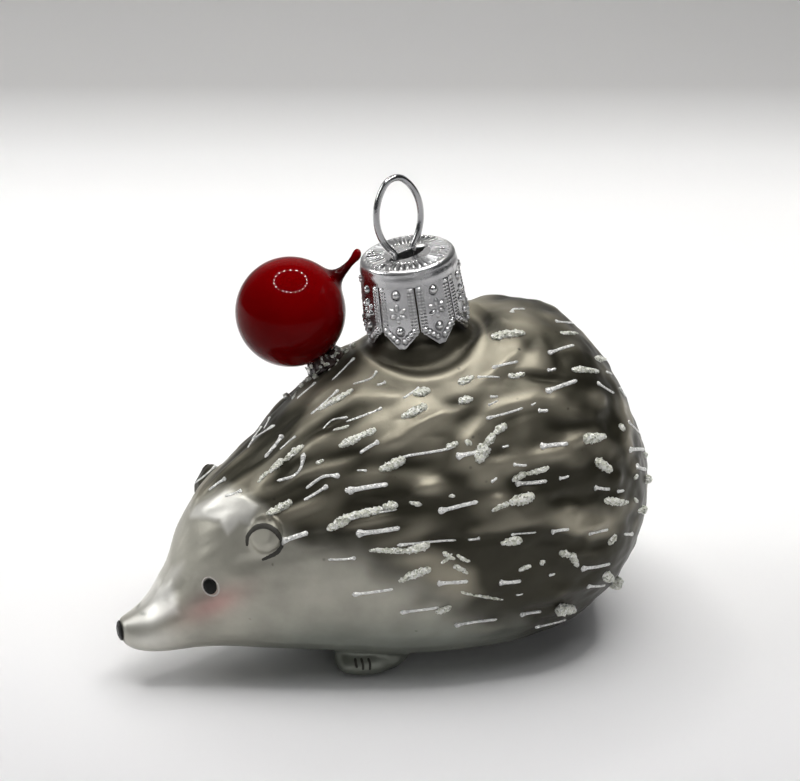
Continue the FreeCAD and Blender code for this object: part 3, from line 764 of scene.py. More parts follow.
def patch_mask(x, y, outline, softness):
    """1 inside an outline in pixels, 0 outside, with a soft edge."""
    inside = np.zeros(len(x), bool)
    closed = outline + outline[:1]
    for (x0, y0), (x1, y1) in zip(closed, closed[1:]):
        crosses = (y0 > y) != (y1 > y)
        at = x0 + (y - y0) * (x1 - x0) / ((y1 - y0) or 1e-9)
        inside ^= crosses & (x < at)
    distance = distance_to_line(x, y, closed)
    return smooth_step(-softness, softness, np.where(inside, distance, -distance))


def relief_marks(x, y, marks):
    """Sum of soft oval hills and dips placed in pixels."""
    total = np.zeros(len(x))
    for mark_x, mark_y, half_length, half_width, turn_deg, height in marks:
        turn = math.radians(turn_deg)
        u = (x - mark_x) * math.cos(turn) - (y - mark_y) * math.sin(turn)
        v = (x - mark_x) * math.sin(turn) + (y - mark_y) * math.cos(turn)
        total += height * np.exp(-(u / half_length) ** 2 - (v / half_width) ** 2)
    return total


def flow_coordinates(points):
    """Along the quills' flow from the snout over the body, and across it, in mm."""
    angle = np.arctan2(points[:, 1], points[:, 2] - 20.0)
    along_flow = points[:, 0] + 0.35 * (points[:, 2] - 25.0)
    return np.stack([along_flow, angle * 22.0, np.hypot(points[:, 1], points[:, 2] - 20.0)], axis=1)


def off_face(points):
    """0 on the head, 1 from the shoulders on."""
    return smooth_step(-16.0, -10.0, points[:, 0])


def rump_pole(points):
    """1 at the rump's end, where waves that run lengthwise would meet in a star."""
    return smooth_step(26.0, 37.0, points[:, 0])


def back_relief(points, x, y):
    """Height in mm of the blown relief of the back: it runs along the quills and breaks up at the rump."""
    flow = flow_coordinates(points)
    waves = soft_noise(flow, (12.0, 4.2, 60.0), 1) + 0.5 * soft_noise(flow, (6.0, 2.2, 40.0), 2)
    lumps = soft_noise(points, (5.0, 5.0, 5.0), 3) + 0.5 * soft_noise(points, (2.4, 2.4, 2.4), 8)
    creases = np.abs(soft_noise(flow, (8.0, 3.4, 50.0), 11)) - 0.2
    crumples = soft_noise(flow, (3.6, 2.0, 30.0), 14) * smooth_step(0.0, 16.0, points[:, 0])
    rump = smooth_step(8, 34, points[:, 0])
    pole = rump_pole(points)
    relief = WAVES * (waves * (1 - 0.4 * rump) * (1 - pole) + lumps * (0.15 + 0.65 * rump + 0.25 * pole))
    relief += (CREASES * creases + CRUMPLES * crumples) * (1 - pole)
    return relief + MARK_SHARE * relief_marks(x, y, RELIEF_MARKS)


def body_relief(points, x, y, dark):
    """Height in mm of all relief: it dies out on belly and neck, and the face has its own."""
    rump = smooth_step(8, 34, points[:, 0])
    fine = FINE_GRAIN * rump * soft_noise(points, (1.9, 1.9, 1.6), 13)
    off_neck = smooth_step(10.5, 13.5, neck_distance(points))
    back = (back_relief(points, x, y) * (0.12 + 0.88 * dark) + fine) * off_neck
    bowl = bowl_distance(points)
    valley = 0.20 * soft_ring(bowl, BOWL_CREST, 0.8) - 0.28 * soft_ring(bowl, BOWL_VALLEY, 1.0)
    face = relief_marks(x, y, FACE_MARKS) * (1 - dark)
    face += FOREHEAD_RISE * patch_mask(x, y, FOREHEAD_PATCH, 3.0)
    face += MUZZLE_RISE * patch_mask(x, y, MUZZLE_PATCH, 5.0)
    return back + valley * off_face(points) + face


# The body's paint


def blend(first, second, share):
    """Mix of two colours, or arrays of colours, by a share for each point."""
    share = share[:, None]
    return np.asarray(first) * (1 - share) + np.asarray(second) * share


def twin_share(points, normals):
    """0 on the strip past the ridge that the photograph shows, where a mirrored patch would show; else 1."""
    toward = np.array(EYE) - points
    toward = toward / np.linalg.norm(toward, axis=1)[:, None]
    facing = np.sum(toward * normals, axis=1)
    return 1 - smooth_step(-0.15, 0.10, facing) * smooth_step(-0.6, 0.6, points[:, 1])


def back_color(points, x, y, relief):
    """The dark back: dark folds as painted shade and warmer, lighter ridges as painted highlight, over
    drifting tones of the lacquer.
    """
    pole = rump_pole(points)
    lengthwise = soft_noise(flow_coordinates(points), (12.0, 6.0, 60.0), 5)
    cloud = lengthwise * (1 - pole) + soft_noise(points, (6.0, 5.0, 5.0), 12) * pole
    # Painted highlight on the upper flank; painted shade on the lower flank and a darker spot on the crown
    lighter = 0.5 * soft_spot(x, y, *UPPER_FLANK_HIGHLIGHT)
    darker = 0.65 * soft_spot(x, y, *LOW_FLANK_SHADE) + 0.9 * soft_spot(x, y, *CROWN)
    # Folds of the relief come out darker as painted shade and ridges lighter as painted highlight
    return blend(BACK_DARK, BACK_LIGHT_AND_HIGHLIGHT, smooth_step(-0.15, 0.68, cloud + relief + lighter - darker))


def with_face_paint(color, x, y, twin):
    """Light patches of white lacquer that partly stand for highlights, a painted highlight on the muzzle's
    side, blush, nostril and painted shade over the ear.
    """
    # White lacquer patches that are partly painted highlight
    color = blend(color, WHITE_PEARL_AND_HIGHLIGHT, 0.8 * twin * patch_mask(x, y, FOREHEAD_PATCH, 3.5))
    color = blend(color, WHITE_PEARL_AND_HIGHLIGHT, 0.9 * patch_mask(x, y, MUZZLE_PATCH, 4.5))
    color = blend(color, WHITE_PEARL_AND_HIGHLIGHT, 0.5 * patch_mask(x, y, BROW_PATCH, 5.0))
    # Painted highlight on the lower side of the muzzle
    color = blend(color, WHITE_PEARL_AND_HIGHLIGHT, 0.5 * soft_spot(x, y, *MUZZLE_SIDE_HIGHLIGHT))
    cheek_x, cheek_y = x - CHEEK[0], y - CHEEK[1]
    along = (0.97 * cheek_x + 0.26 * cheek_y) / 26.0
    across = (0.97 * cheek_y + 0.30 * cheek_x) / 13.0
    color = blend(color, BLUSH, 0.62 * np.exp(-along ** 2 - across ** 2))
    # Painted shade over the ear
    color = blend(color, BACK_DARK, 0.75 * soft_spot(x, y, *OVER_EAR_SHADE))
    return blend(color, SHADED_BELLY, 0.7 * soft_spot(x, y, *NOSTRIL))


def with_neck_paint(color, points):
    """Painted shade in the bowl round the neck with a painted highlight on its rim, and the dark far ear."""
    bowl = bowl_distance(points)
    # Painted shade in the bowl round the neck
    color = blend(color, NECK_BOWL_SHADE, 0.93 * smooth_step(BOWL_RIM, 9.4, bowl) * off_face(points))
    # Painted highlight along the bowl's rim on the near side
    rim = soft_ring(bowl, BOWL_RIM, 0.45) * smooth_step(2.0, -4.0, points[:, 1])
    color = blend(color, BACK_LIGHT_AND_HIGHLIGHT, 0.8 * rim * off_face(points))
    far_ear = np.linalg.norm(points - np.array(FAR_EAR), axis=1)
    return blend(color, BACK_DARK, 0.45 * smooth_step(4.6, 3.6, far_ear))


def paint_body(obj, points, x, y, dark, relief):
    """Writes the painted colours into the mesh."""
    # Painted shade: towards the bottom the pearl turns to the darker belly tone
    low = smooth_step(18.0, 9.0, points[:, 2]) * smooth_step(-31.0, -16.0, points[:, 0])
    low = np.maximum(low, smooth_step(6.5, 3.5, points[:, 2]))
    color = blend(blend(PEARL, SHADED_BELLY, low), back_color(points, x, y, relief), dark)
    color = with_face_paint(color, x, y, twin_share(points, mesh_normals(obj)))
    write_colors(obj, "paint", with_neck_paint(color, points))


def cut_neck_bore(obj):
    cutter = new_object("neck_bore", neck_plug(NECK_BORE_RADIUS, -6.0, NECK_HEIGHT + 3.0))
    cut = obj.modifiers.new("bore", "BOOLEAN")
    cut.object = cutter
    cut.solver = "EXACT"
    apply_modifiers(obj)
    bpy.data.objects.remove(cutter)


def make_body():
    """The glass body; pixels of its far side are those of its mirror on the near side."""
    obj = body_without_hollow()
    smooth_surface(obj, BODY_SMOOTHING)
    points = mesh_points(obj)
    near = points.copy()
    near[:, 1] = -np.abs(near[:, 1])
    x, y = to_pixels(near)
    seen_x, seen_y = to_pixels(points)
    wander = soft_noise(points, (4.0, 4.0, 4.0), 4)
    twin = twin_share(points, mesh_normals(obj))
    dark = dark_back_mask(x, y, wander) * twin + dark_back_mask(seen_x, seen_y, wander) * (1 - twin)
    shift = body_relief(points, x, y, dark)
    shift[points[:, 2] < 0.25] = 0
    points = points + mesh_normals(obj) * shift[:, None]
    lowest, highest = (np.array(corner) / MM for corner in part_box("glass_body"))
    points = np.clip(points, lowest - 0.25, highest + 0.25)
    points[:, 2] = np.maximum(points[:, 2], 0)
    set_points(obj, points)
    paint_body(obj, points, x, y, dark, shift)
    cut_neck_bore(obj)
    set_finish(obj, LACQUER)
    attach(obj, "ornament")
    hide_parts("glass_body")
    return obj


body = make_body()
body_points = [v.co / MM for v in body.data.vertices]
body_tree = BVHTree.FromPolygons(body_points, [p.vertices for p in body.data.polygons])


def on_skin(x, y):
    """Where a pixel's ray meets the body, and the normal there; None where it misses."""
    place, normal, _, _ = body_tree.ray_cast(EYE, pixel_ray(x, y))
    if place is None:
        return None
    return place, normal


def nearest_skin(point):
    place, normal, _, _ = body_tree.find_nearest(point)
    return place, normal


# Raised strokes


def bead_chain(path, widths, height_share, sides, roughness):
    """Rings of a raised stroke along skin places: (points, faces). Every ring sits half in the skin."""
    points = []
    count = len(path)
    for i, (place, normal) in enumerate(path):
        ahead = path[min(i + 1, count - 1)][0] - path[max(i - 1, 0)][0]
        run = (ahead - normal * ahead.dot(normal)).normalized()
        across = normal.cross(run)
        for k in range(sides):
            angle = 2 * math.pi * k / sides
            reach = across * (widths[i] / 2 * math.cos(angle))
            reach += normal * (widths[i] * height_share * math.sin(angle))
            lump = noise.noise((place + reach) * 2.6) + 0.5 * noise.noise((place + reach) * 7.0)
            points.append(place + reach * (1 + roughness * (1.1 * lump + 0.35 * float(rng.uniform(-1, 1)))))
    return points, tube_faces(count, sides)


def curve_through(run, steps):
    """A smooth curve through given places."""
    ends = [run[0]] + list(run) + [run[-1]]
    out = []
    for a, b, c, d in zip(ends, ends[1:], ends[2:], ends[3:]):
        for i in range(steps):
            t = i / steps
            place = []
            for p, q, r, s in zip(a, b, c, d):
                square = 2 * p - 5 * q + 4 * r - s
                cube = 3 * q - p - 3 * r + s
                place.append(0.5 * (2 * q + (r - p) * t + square * t ** 2 + cube * t ** 3))
            out.append(tuple(place))
    return out + [run[-1]]


def skin_path(run, pitch, sway):
    """Places on the skin along a run of pixels that sways a little; pitch in mm."""
    length = sum(math.dist(a, b) for a, b in zip(run, run[1:])) / PIXELS_PER_MM
    steps = max(5, int(length / pitch / (len(run) - 1)))
    phase = float(rng.uniform(0, 2 * math.pi))
    path = []
    for i, (x, y) in enumerate(curve_through(run, steps)):
        bend = sway * math.sin(phase + 5 * i / (steps * (len(run) - 1)))
        found = on_skin(x, y + bend)
        if found:
            path.append(found)
    return path


def mirrored(path, shift):
    """The same stroke on the far flank, moved along the body and up by a shift in mm."""
    out = []
    for place, _ in path:
        out.append(nearest_skin(Vector((place.x + shift[0], -place.y, place.z + shift[1]))))
    return out


def silver_widths(count, width):
    """Bulb at the first end and a thin tail."""
    widths = []
    for i in range(count):
        t = i / (count - 1)
        bulb = math.exp(-((t - 0.10) / 0.11) ** 2)
        widths.append(width * (0.68 + 0.56 * bulb) * min(1.0, 0.35 + 9 * min(t, 1 - t)))
    return widths


def glitter_widths(count, width):
    """Thick in the middle, with lumps."""
    widths = []
    for i in range(count):
        t = i / (count - 1)
        body_share = math.sin(math.pi * (0.05 + 0.90 * t ** 0.8)) ** 0.65
        widths.append(width * body_share * float(rng.uniform(0.86, 1.10)))
    return widths


def clear_of_fittings(path):
    """True if a far stroke is out of the photograph's view and clear of apple, neck and ear."""
    middle, normal = path[len(path) // 2]
    if normal.dot((EYE - middle).normalized()) > -0.35:
        return False
    off_neck = (middle - NECK_ROOT).length > 12.0
    return off_neck and (middle - APPLE_FOOT).length > 5.5 and (middle - FAR_EAR_FOOT).length > 4.5


# Pitch of the rings in mm, sway in pixels, height as a share of the width, roughness, and the widths' rule
SILVER_STYLE = (0.2, 0.35, 0.40, 0.12, silver_widths)
GLITTER_STYLE = (0.15, 0.7, 0.36, 0.34, glitter_widths)


def stroke_group(name, rows, far, style, material, replaced):
    """All strokes of one style on one flank, as one object."""
    pitch, sway, height_share, roughness, widths_of = style
    points, faces = [], []
    for run, width in rows:
        path = skin_path(run, pitch, sway)
        if far and len(path) > 2:
            path = mirrored(path, (float(rng.uniform(-2.0, 2.0)), float(rng.uniform(-1.2, 1.2))))
        if len(path) < 3 or (far and not clear_of_fittings(path)):
            continue
        widths = widths_of(len(path), width / PIXELS_PER_MM)
        append_part(points, faces, *bead_chain(path, widths, height_share, 14, roughness))
    obj = add_mesh(name, points, faces, material)
    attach(obj, "ornament")
    if replaced:
        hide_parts(replaced)


def runs(rows):
    return [([(x0, y0), (x1, y1)], width) for x0, y0, x1, y1, width in rows]


silver_rows = runs(SILVER_STROKES) + SILVER_CURVES
glitter_rows = runs(GLITTER_STROKES)
stroke_group("near_silver_strokes", silver_rows, False, SILVER_STYLE, SILVER, "near_quill_strokes")
stroke_group("near_glitter_strokes", glitter_rows, False, GLITTER_STYLE, GLITTER, None)
stroke_group("far_silver_strokes", silver_rows, True, SILVER_STYLE, SILVER, "far_quill_strokes")
stroke_group("far_glitter_strokes", glitter_rows, True, GLITTER_STYLE, GLITTER, None)


def proud_blobs():
    """Lumpy blobs half sunk in the skin."""
    points, faces = [], []
    for x, y, width in PROUD_BLOBS:
        found = on_skin(x, y)
        if not found:
            continue
        place, normal = found
        radius = width / PIXELS_PER_MM / 2
        seed = Vector((x, y, 0))
        mesh = bmesh.new()
        bmesh.ops.create_icosphere(mesh, subdivisions=4, radius=radius)
        blob = []
        for vert in mesh.verts:
            lump = noise.noise(vert.co * (2.0 / radius) + seed)
            lump += 0.5 * noise.noise(vert.co * (5.0 / radius) + seed)
            blob.append(place + normal * (radius * 0.35) + vert.co * (1 + 0.32 * lump))
        append_part(points, faces, blob, [[v.index for v in face.verts] for face in mesh.faces])
        mesh.free()
    obj = add_mesh("proud_glitter_blobs", points, faces, GLITTER)
    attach(obj, "ornament")


proud_blobs()


# Painted marks, nose and eyes


def painted_line(name, pixel_runs, width_pixels, rise, far_shift):
    """A thin raised line of paint along pixels on the near side, and its mirror, shifted, on the far side."""
    width = width_pixels / PIXELS_PER_MM
    for side in ("near", "far"):
        points, faces = [], []
        for run in pixel_runs:
            path = [found for found in (on_skin(x, y) for x, y in curve_through(run, 12)) if found]
            if side == "far":
                path = mirrored(path, far_shift)
            count = len(path)
            if count < 3:
                continue
            widths = [width * min(1, 0.4 + 6 * min(i, count - 1 - i) / count) for i in range(count)]
            append_part(points, faces, *bead_chain(path, widths, rise, 8, 0.04))
        obj = add_mesh(f"{side}_{name}", points, faces, MARK_PAINT)
        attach(obj, "ornament")


painted_line("ear_arc", [EAR_ARC], 5.4, 0.12, FAR_EAR_SHIFT)
painted_line("toe_marks", TOE_MARKS, 2.5, 0.14, (0.0, 0.0))


def refined_node(node, name, voxel, iterations, material):
    """A finely rounded copy of a small CAD node."""
    obj = new_object(name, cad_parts[node].data.copy())
    voxel_remesh(obj, voxel)
    smooth_surface(obj, iterations)
    set_finish(obj, material)
    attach(obj, "ornament")
    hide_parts(node)
    return obj


def make_eye(side):
    """An eye a little wider and taller than its solid, leaning to the snout."""
    eye = refined_node(f"{side}_eye_enamel", f"{side}_black_eye", 0.05, 8, ENAMEL)
    points = mesh_points(eye)
    offset = points - (points.max(axis=0) + points.min(axis=0)) / 2
    lengthwise, upward = offset[:, 0], offset[:, 2]
    points[:, 0] += EYE_WIDEN * lengthwise + EYE_TILT * upward
    points[:, 2] += EYE_HEIGHTEN * upward
    set_points(eye, points)


def make_eye_rim(side):
    """The thin pale line round an eye."""
    half_height, half_length, width = EYE_RIM
    low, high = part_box(f"{side}_eye_enamel")
    place, normal = nearest_skin((low + high) / 2 / MM)
    upward = (Vector((0, 0, 1)) - normal * normal.z).normalized()
    lengthwise = normal.cross(upward)
    path = []
    for i in range(41):
        angle = 2 * math.pi * i / 40
        rise, run = half_height * math.cos(angle), half_length * math.sin(angle)
        tilt = Vector((EYE_TILT * rise, 0, 0))
        path.append(nearest_skin(place + upward * rise + lengthwise * run + tilt))
    points, faces = bead_chain(path, [width] * len(path), 0.30, 8, 0.05)
    obj = add_mesh(f"{side}_eye_rim", points, faces, RIM_PAINT)
    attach(obj, "ornament")


refined_node("nose_enamel", "black_nose", 0.06, 10, ENAMEL)
for eye_side in ("near", "far"):
    make_eye(eye_side)
for eye_side in ("near", "far"):
    make_eye_rim(eye_side)


# Apple and glue


def apple_profile():
    """Radius and height of the ball and its drawn stalk, with the heights of the stalk's foot and tip."""
    flare = math.asin(FLARE_RADIUS / APPLE_RADIUS)
    turns = np.linspace(0.03, math.pi - flare, 46)
    ball = [(APPLE_RADIUS * math.sin(turn), -APPLE_RADIUS * math.cos(turn)) for turn in turns]
    foot = ball[-1][1]
    tip = APPLE_RADIUS + STALK_LENGTH
    root = [(2.20, 0.30), (1.65, 0.64), (1.25, 1.05), (0.96, 1.55), (0.76, 2.2), (0.62, 3.0)]
    knob = [(0.54, 2.4), (0.60, 1.7), (0.74, 1.1), (0.76, 0.7), (0.66, 0.35), (0.42, 0.1), (0.12, 0.0)]
    stalk = [(radius, foot + rise) for radius, rise in root] + [(radius, tip - drop) for radius, drop in knob]
    return ball + stalk, foot, tip


def make_apple():
    """The ball and its stalk as one revolved skin, leaning to the cap."""
    sides = 72
    profile, foot, tip = apple_profile()
    place = Matrix.Translation(APPLE_CENTRE) @ Matrix.Rotation(math.radians(STALK_LEAN_DEG), 4, "Y")
    points, tones = [], []
    for radius, height in profile:
        root = smooth_step(foot - 0.6, foot + 0.9, height) * smooth_step(tip - 0.3, foot + 2.4, height)
        tones += [1 - 0.80 * float(root)] * sides
        shift = -STALK_BEND * (max(0.0, height - foot) / (tip - foot)) ** 2
        for k in range(sides):
            angle = 2 * math.pi * k / sides
            spoke = Vector((radius * math.cos(angle) + shift, radius * math.sin(angle), height))
            points.append(place @ spoke)
    obj = add_mesh("glossy_apple", points, tube_faces(len(profile), sides), APPLE_RED)
    write_tones(obj, "root", tones)
    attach(obj, "ornament")
    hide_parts("glass_apple")


def make_glue():
    """The lumpy glue; returns its smooth places and normals for the shards."""
    obj = refined_node("apple_glue", "glue_drop", 0.22, 6, GLUE)
    points = mesh_points(obj)
    normals = mesh_normals(obj)
    lumps = soft_noise(points, (1.1, 1.1, 1.1), 6)
    set_points(obj, points + normals * (0.30 * lumps)[:, None])
    return points, normals


def glue_chips(points, normals):
    """Flat shards of glitter stuck in the glue round the apple's foot."""
    corners, faces = [], []
    for i in rng.choice(len(points), GLUE_CHIPS, replace=False):
        size = float(rng.uniform(0.16, 0.46))
        outward = Vector(normals[i])
        spin = Matrix.Rotation(float(rng.uniform(0, 2 * math.pi)), 3, outward)
        lean = (outward + Vector(rng.uniform(-0.7, 0.7, 3))).normalized()
        side = spin @ lean.orthogonal().normalized()
        other = lean.cross(side)
        middle = Vector(points[i]) + outward * 0.18
        top, bottom = [], []
        for k in range(5):
            angle = 2 * math.pi * k / 5 + float(rng.uniform(-0.3, 0.3))
            rim = middle + (side * math.cos(angle) + other * math.sin(angle)) * size
            top.append(rim + lean * 0.06)
            bottom.append(rim - lean * 0.06)
        sides = [(k, 5 + k, 5 + (k + 1) % 5, (k + 1) % 5) for k in range(5)]
        append_part(corners, faces, top + bottom, [(0, 1, 2, 3, 4), (9, 8, 7, 6, 5)] + sides)
    obj = add_mesh("glue_glitter_shards", corners, faces, GLITTER, smooth=False)
    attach(obj, "ornament")


make_apple()
glue_chips(*make_glue())


# Stamped crown cap, in the neck's own upright frame


def bump(distance, radius, height):
    """A round bead's height at a distance from its middle."""
    return height * np.sqrt(np.clip(1 - (distance / radius) ** 2, 0, 1))


def petal(x, down, angle_deg):
    """A long oval boss of the star, pointing away from the star's middle."""
    angle = math.radians(angle_deg)
    off_x = x - STAR_RADIUS * math.cos(angle)
    off_down = down - STAR_DOWN - STAR_RADIUS * math.sin(angle)
    u = off_x * math.cos(angle) + off_down * math.sin(angle)
    v = -off_x * math.sin(angle) + off_down * math.cos(angle)
    return 0.42 * np.sqrt(np.clip(1 - (u / 0.60) ** 2 - (v / 0.33) ** 2, 0, 1))


def moat(distance, radius):
    """The shallow groove that the stamp leaves round a boss."""
    return -0.11 * soft_ring(distance, 1.22 * radius, 0.22 * radius)


def edge_stamp(x, down, side):
    """Heights of the ribs and beads along one side of a tongue, and the groove round its beads."""
    heights, groove = [], 0.0
    inner_edge = TONGUE_HALF_WIDTH - 0.55
    for inset, radius in RIB_ROWS:
        for i in range(int((TONGUE_LENGTH - TONGUE_POINT + 0.4) / RIB_PITCH)):
            off = np.hypot(x - side * (TONGUE_HALF_WIDTH - inset), down - 0.9 - RIB_PITCH * i)
            heights.append(bump(off, radius, RIB_HEIGHT))
    for i in range(EDGE_BEADS):
        share = (i + 0.3) / EDGE_BEADS
        edge_x = side * (inner_edge * (1 - share) + 0.20 * share)
        edge_down = TONGUE_LENGTH - TONGUE_POINT - 0.42 + (TONGUE_POINT - 0.45) * share
        off = np.hypot(x - edge_x, down - edge_down)
        heights.append(bump(off, EDGE_BEAD, 0.38))
        groove = np.minimum(groove, moat(off, EDGE_BEAD))
    heights.append(bump(np.hypot(x - side * inner_edge, down - 0.25), 0.40, 0.38))
    return heights, groove


def tongue_stamp(x, down):
    """Pattern of one tongue: x across from its middle, down from its top, in mm."""
    heights = [petal(x, down, 60 * i + 30) for i in range(6)]
    groove = 0.0
    for boss_down, radius in (UPPER_BOSS, LOWER_BOSS):
        off = np.hypot(x, down - boss_down)
        heights.append(bump(off, radius, BOSS_HEIGHT))
        groove = np.minimum(groove, moat(off, radius))
    for side in (-1, 1):
        side_heights, side_groove = edge_stamp(x, down, side)
        heights += side_heights
        groove = np.minimum(groove, side_groove)
    height = np.maximum.reduce(heights)
    return np.where(height > 0.01, height, groove)


def patina_share(stamp):
    """Brightness of the metal at a stamped height: hollows are dark, raised parts bright."""
    return 0.28 + 0.82 * float(smooth_step(-0.16, 0.14, stamp))


def skirt_radius(height):
    taper = (CAP_BOTTOM_RADIUS - CAP_TOP_RADIUS) / (CAP_HEIGHT - CAP_SHOULDER)
    return CAP_TOP_RADIUS + taper * (CAP_TOP - CAP_SHOULDER - height)


def slot_edge(angle):
    """Distance from the middle to the lens slot's edge in a direction."""
    turned = angle - math.radians(SLOT_TURN_DEG)
    disc = (SLOT_LENGTH ** 2 + SLOT_WIDTH ** 2) / (4 * SLOT_WIDTH)
    offset = disc - SLOT_WIDTH / 2
    return -offset * abs(math.sin(turned)) + math.sqrt(disc ** 2 - (offset * math.cos(turned)) ** 2)


def flat_stamp(radius, angle, inner):
    """Height of the top: a dished smooth crescent round the slot, then flutes with pits at their ends."""
    if radius < FLUTE_START:
        return -0.22 * float(smooth_step(FLUTE_START, inner, radius)) if inner < FLUTE_START else 0.0
    turn = angle * FLUTES / (2 * math.pi)
    ridge = math.cos(2 * math.pi * turn)
    fade = min(1.0, (radius - FLUTE_START) / 0.25) * min(1.0, max(0.0, (FLUTE_END - radius) / 0.15))
    off = math.hypot(radius - FLUTE_END + 0.1, (turn % 1 - 0.5) * 2 * math.pi * FLUTE_END / FLUTES)
    return 0.26 * ridge * fade - 0.34 * math.sqrt(max(0.0, 1 - (off / 0.30) ** 2))


def cap_columns():
    """Share across its tongue and angle of every column of the cap's sheet; the gaps are the slits."""
    pitch = 2 * math.pi / TONGUES
    slit_half = SLIT_WIDTH / 2 / CAP_BOTTOM_RADIUS
    columns = []
    for tongue in range(TONGUES):
        start = math.radians(SLIT_TURN_DEG) + tongue * pitch + slit_half
        for c in range(CAP_COLUMNS + 1):
            share = c / CAP_COLUMNS
            columns.append((share, start + (pitch - 2 * slit_half) * share))
    return columns


def top_column(angle):
    """Radius, height and tone down one column from the slot's edge over the shoulder to the tongues."""
    inner = slot_edge(angle)
    edge_radius = CAP_TOP_RADIUS - CAP_SHOULDER
    column = []
    for share in np.arange(45) / 44:
        radius = inner + (edge_radius - inner) * share
        stamp = flat_stamp(radius, angle, inner)
        fluted_tone = 0.38 + 0.70 * float(smooth_step(-0.22, 0.04, stamp))
        column.append((radius, CAP_TOP + stamp, fluted_tone if radius > FLUTE_START else 0.95))
    for turn in np.arange(1, 9) / 8 * math.pi / 2:
        drop = CAP_SHOULDER - CAP_SHOULDER * math.cos(turn)
        column.append((edge_radius + CAP_SHOULDER * math.sin(turn), CAP_TOP - drop, 0.95))
    for share in np.arange(1, 13) / 12:
        height = CAP_TOP - CAP_SHOULDER - CAP_BAND * share
        swell = 0.10 * math.sin(math.pi * share) ** 2
        column.append((skirt_radius(height) + swell, height, 0.95 - 0.30 * share))
    return column


def tongue_column(across):
    """Radius, height and tone down one column of a tongue, at a share across it."""
    x = (across - 0.5) * 2 * TONGUE_HALF_WIDTH
    beyond_tip = max(0.0, abs(x) - TONGUE_TIP_WIDTH / 2) / (TONGUE_HALF_WIDTH - TONGUE_TIP_WIDTH / 2)
    reach = TONGUE_LENGTH - TONGUE_POINT * beyond_tip
    down = reach * np.arange(1, CAP_ROWS + 1) / CAP_ROWS
    column = []
    for height, stamp in zip(TONGUE_TOP - down, tongue_stamp(np.full(CAP_ROWS, x), down)):
        column.append((skirt_radius(height) + stamp, height, patina_share(stamp)))
    return column


def make_cap():
    """The cap's sheet as one skin of fine quads with its stamping, thickened inwards."""
    place = neck_matrix()
    columns = cap_columns()
    top_rows = len(top_column(0.0))
    points, tones = [], []
    for across, angle in columns:
        for radius, height, tone in top_column(angle) + tongue_column(across):
            points.append(place @ Vector((radius * math.cos(angle), radius * math.sin(angle), height)))
            tones.append(tone)
    rows = top_rows + CAP_ROWS
    faces = []
    for c in range(len(columns)):
        n = (c + 1) % len(columns)
        slit_after = c % (CAP_COLUMNS + 1) == CAP_COLUMNS
        for row in range(top_rows - 1 if slit_after else rows - 1):
            faces.append((c * rows + row, n * rows + row, n * rows + row + 1, c * rows + row + 1))
    obj = add_mesh("stamped_cap", points, faces, CAP_METAL)
    write_tones(obj, "stamp", tones)
    thick = obj.modifiers.new("sheet", "SOLIDIFY")
    thick.thickness = CAP_SHEET * MM
    thick.offset = 1.0 if outward_is_negative(obj) else -1.0
    apply_modifiers(obj)
    obj.data.shade_smooth()
    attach(obj, "cap")
    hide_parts("crown_cap")


def outward_is_negative(obj):
    """True if the sheet's normals point inwards."""
    face = obj.data.polygons[len(obj.data.polygons) // 2]
    away = face.center / MM - neck_matrix() @ Vector((0, 0, CAP_TOP - CAP_HEIGHT / 2))
    return face.normal.dot(away) < 0


make_cap()


# Wire hanger


def half_loop():
    """One half of the wire in the slot's plane: crown, side, bend and leg, as places across and up."""
    side_centre = -(LOOP_SIDE_RADIUS - LOOP_HALF_WIDTH)
    reach = LOOP_SIDE_RADIUS - LOOP_HALF_HEIGHT
    crown_centre = (side_centre ** 2 - reach ** 2) / (2 * reach)
    crown_radius = LOOP_HALF_HEIGHT - crown_centre
    meeting = math.atan2(crown_centre, -side_centre)
    splay = math.radians(LEG_SPLAY_DEG)
    bend_u = LEG_SPREAD + LOOP_BEND_RADIUS * math.cos(splay)
    swing = LOOP_SIDE_RADIUS + LOOP_BEND_RADIUS
    lower = math.acos((bend_u - side_centre) / swing)
    bend_w = -swing * math.sin(lower)
    arcs = [
        (0.0, crown_centre, crown_radius, np.linspace(math.pi / 2, meeting, 16)),
        (side_centre, 0.0, LOOP_SIDE_RADIUS, np.linspace(meeting, -lower, 22)[1:]),
        (bend_u, bend_w, LOOP_BEND_RADIUS, np.linspace(math.pi - lower, math.pi + splay, 8)[1:]),
    ]
    half = []
    for middle_u, middle_w, radius, angles in arcs:
        half += [(middle_u + radius * math.cos(a), middle_w + radius * math.sin(a)) for a in angles]
    top_u, top_w = half[-1]
    for share in (0.25, 0.5, 0.75, 1.0):
        run = LEG_LENGTH * share
        half.append((top_u + run * math.sin(splay), top_w - run * math.cos(splay)))
    return half, top_w


def make_hanger():
    """The wire, swept along one half of its line and the mirrored half."""
    place = neck_matrix() @ Matrix.Rotation(math.radians(SLOT_TURN_DEG), 4, "Z")
    half, top_w = half_loop()
    lift = CAP_TOP + LOOP_CLEARANCE - top_w
    line = [(-u, w) for u, w in reversed(half)] + half[1:]
    line = [Vector((u - LOOP_SHIFT, 0, w + lift)) for u, w in line]
    sides = 24
    points = []
    for i, p in enumerate(line):
        run = (line[min(i + 1, len(line) - 1)] - line[max(i - 1, 0)]).normalized()
        across = Vector((0, 1, 0))
        inward = run.cross(across)
        for k in range(sides):
            angle = 2 * math.pi * k / sides
            points.append(place @ (p + (across * math.cos(angle) + inward * math.sin(angle)) * WIRE_RADIUS))
    faces = [tuple(reversed(face)) for face in tube_faces(len(line), sides)]
    obj = add_mesh("bright_wire_hanger", points, faces, WIRE_METAL)
    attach(obj, "hanger")
    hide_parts("wire_hanger")


make_hanger()


# Stage


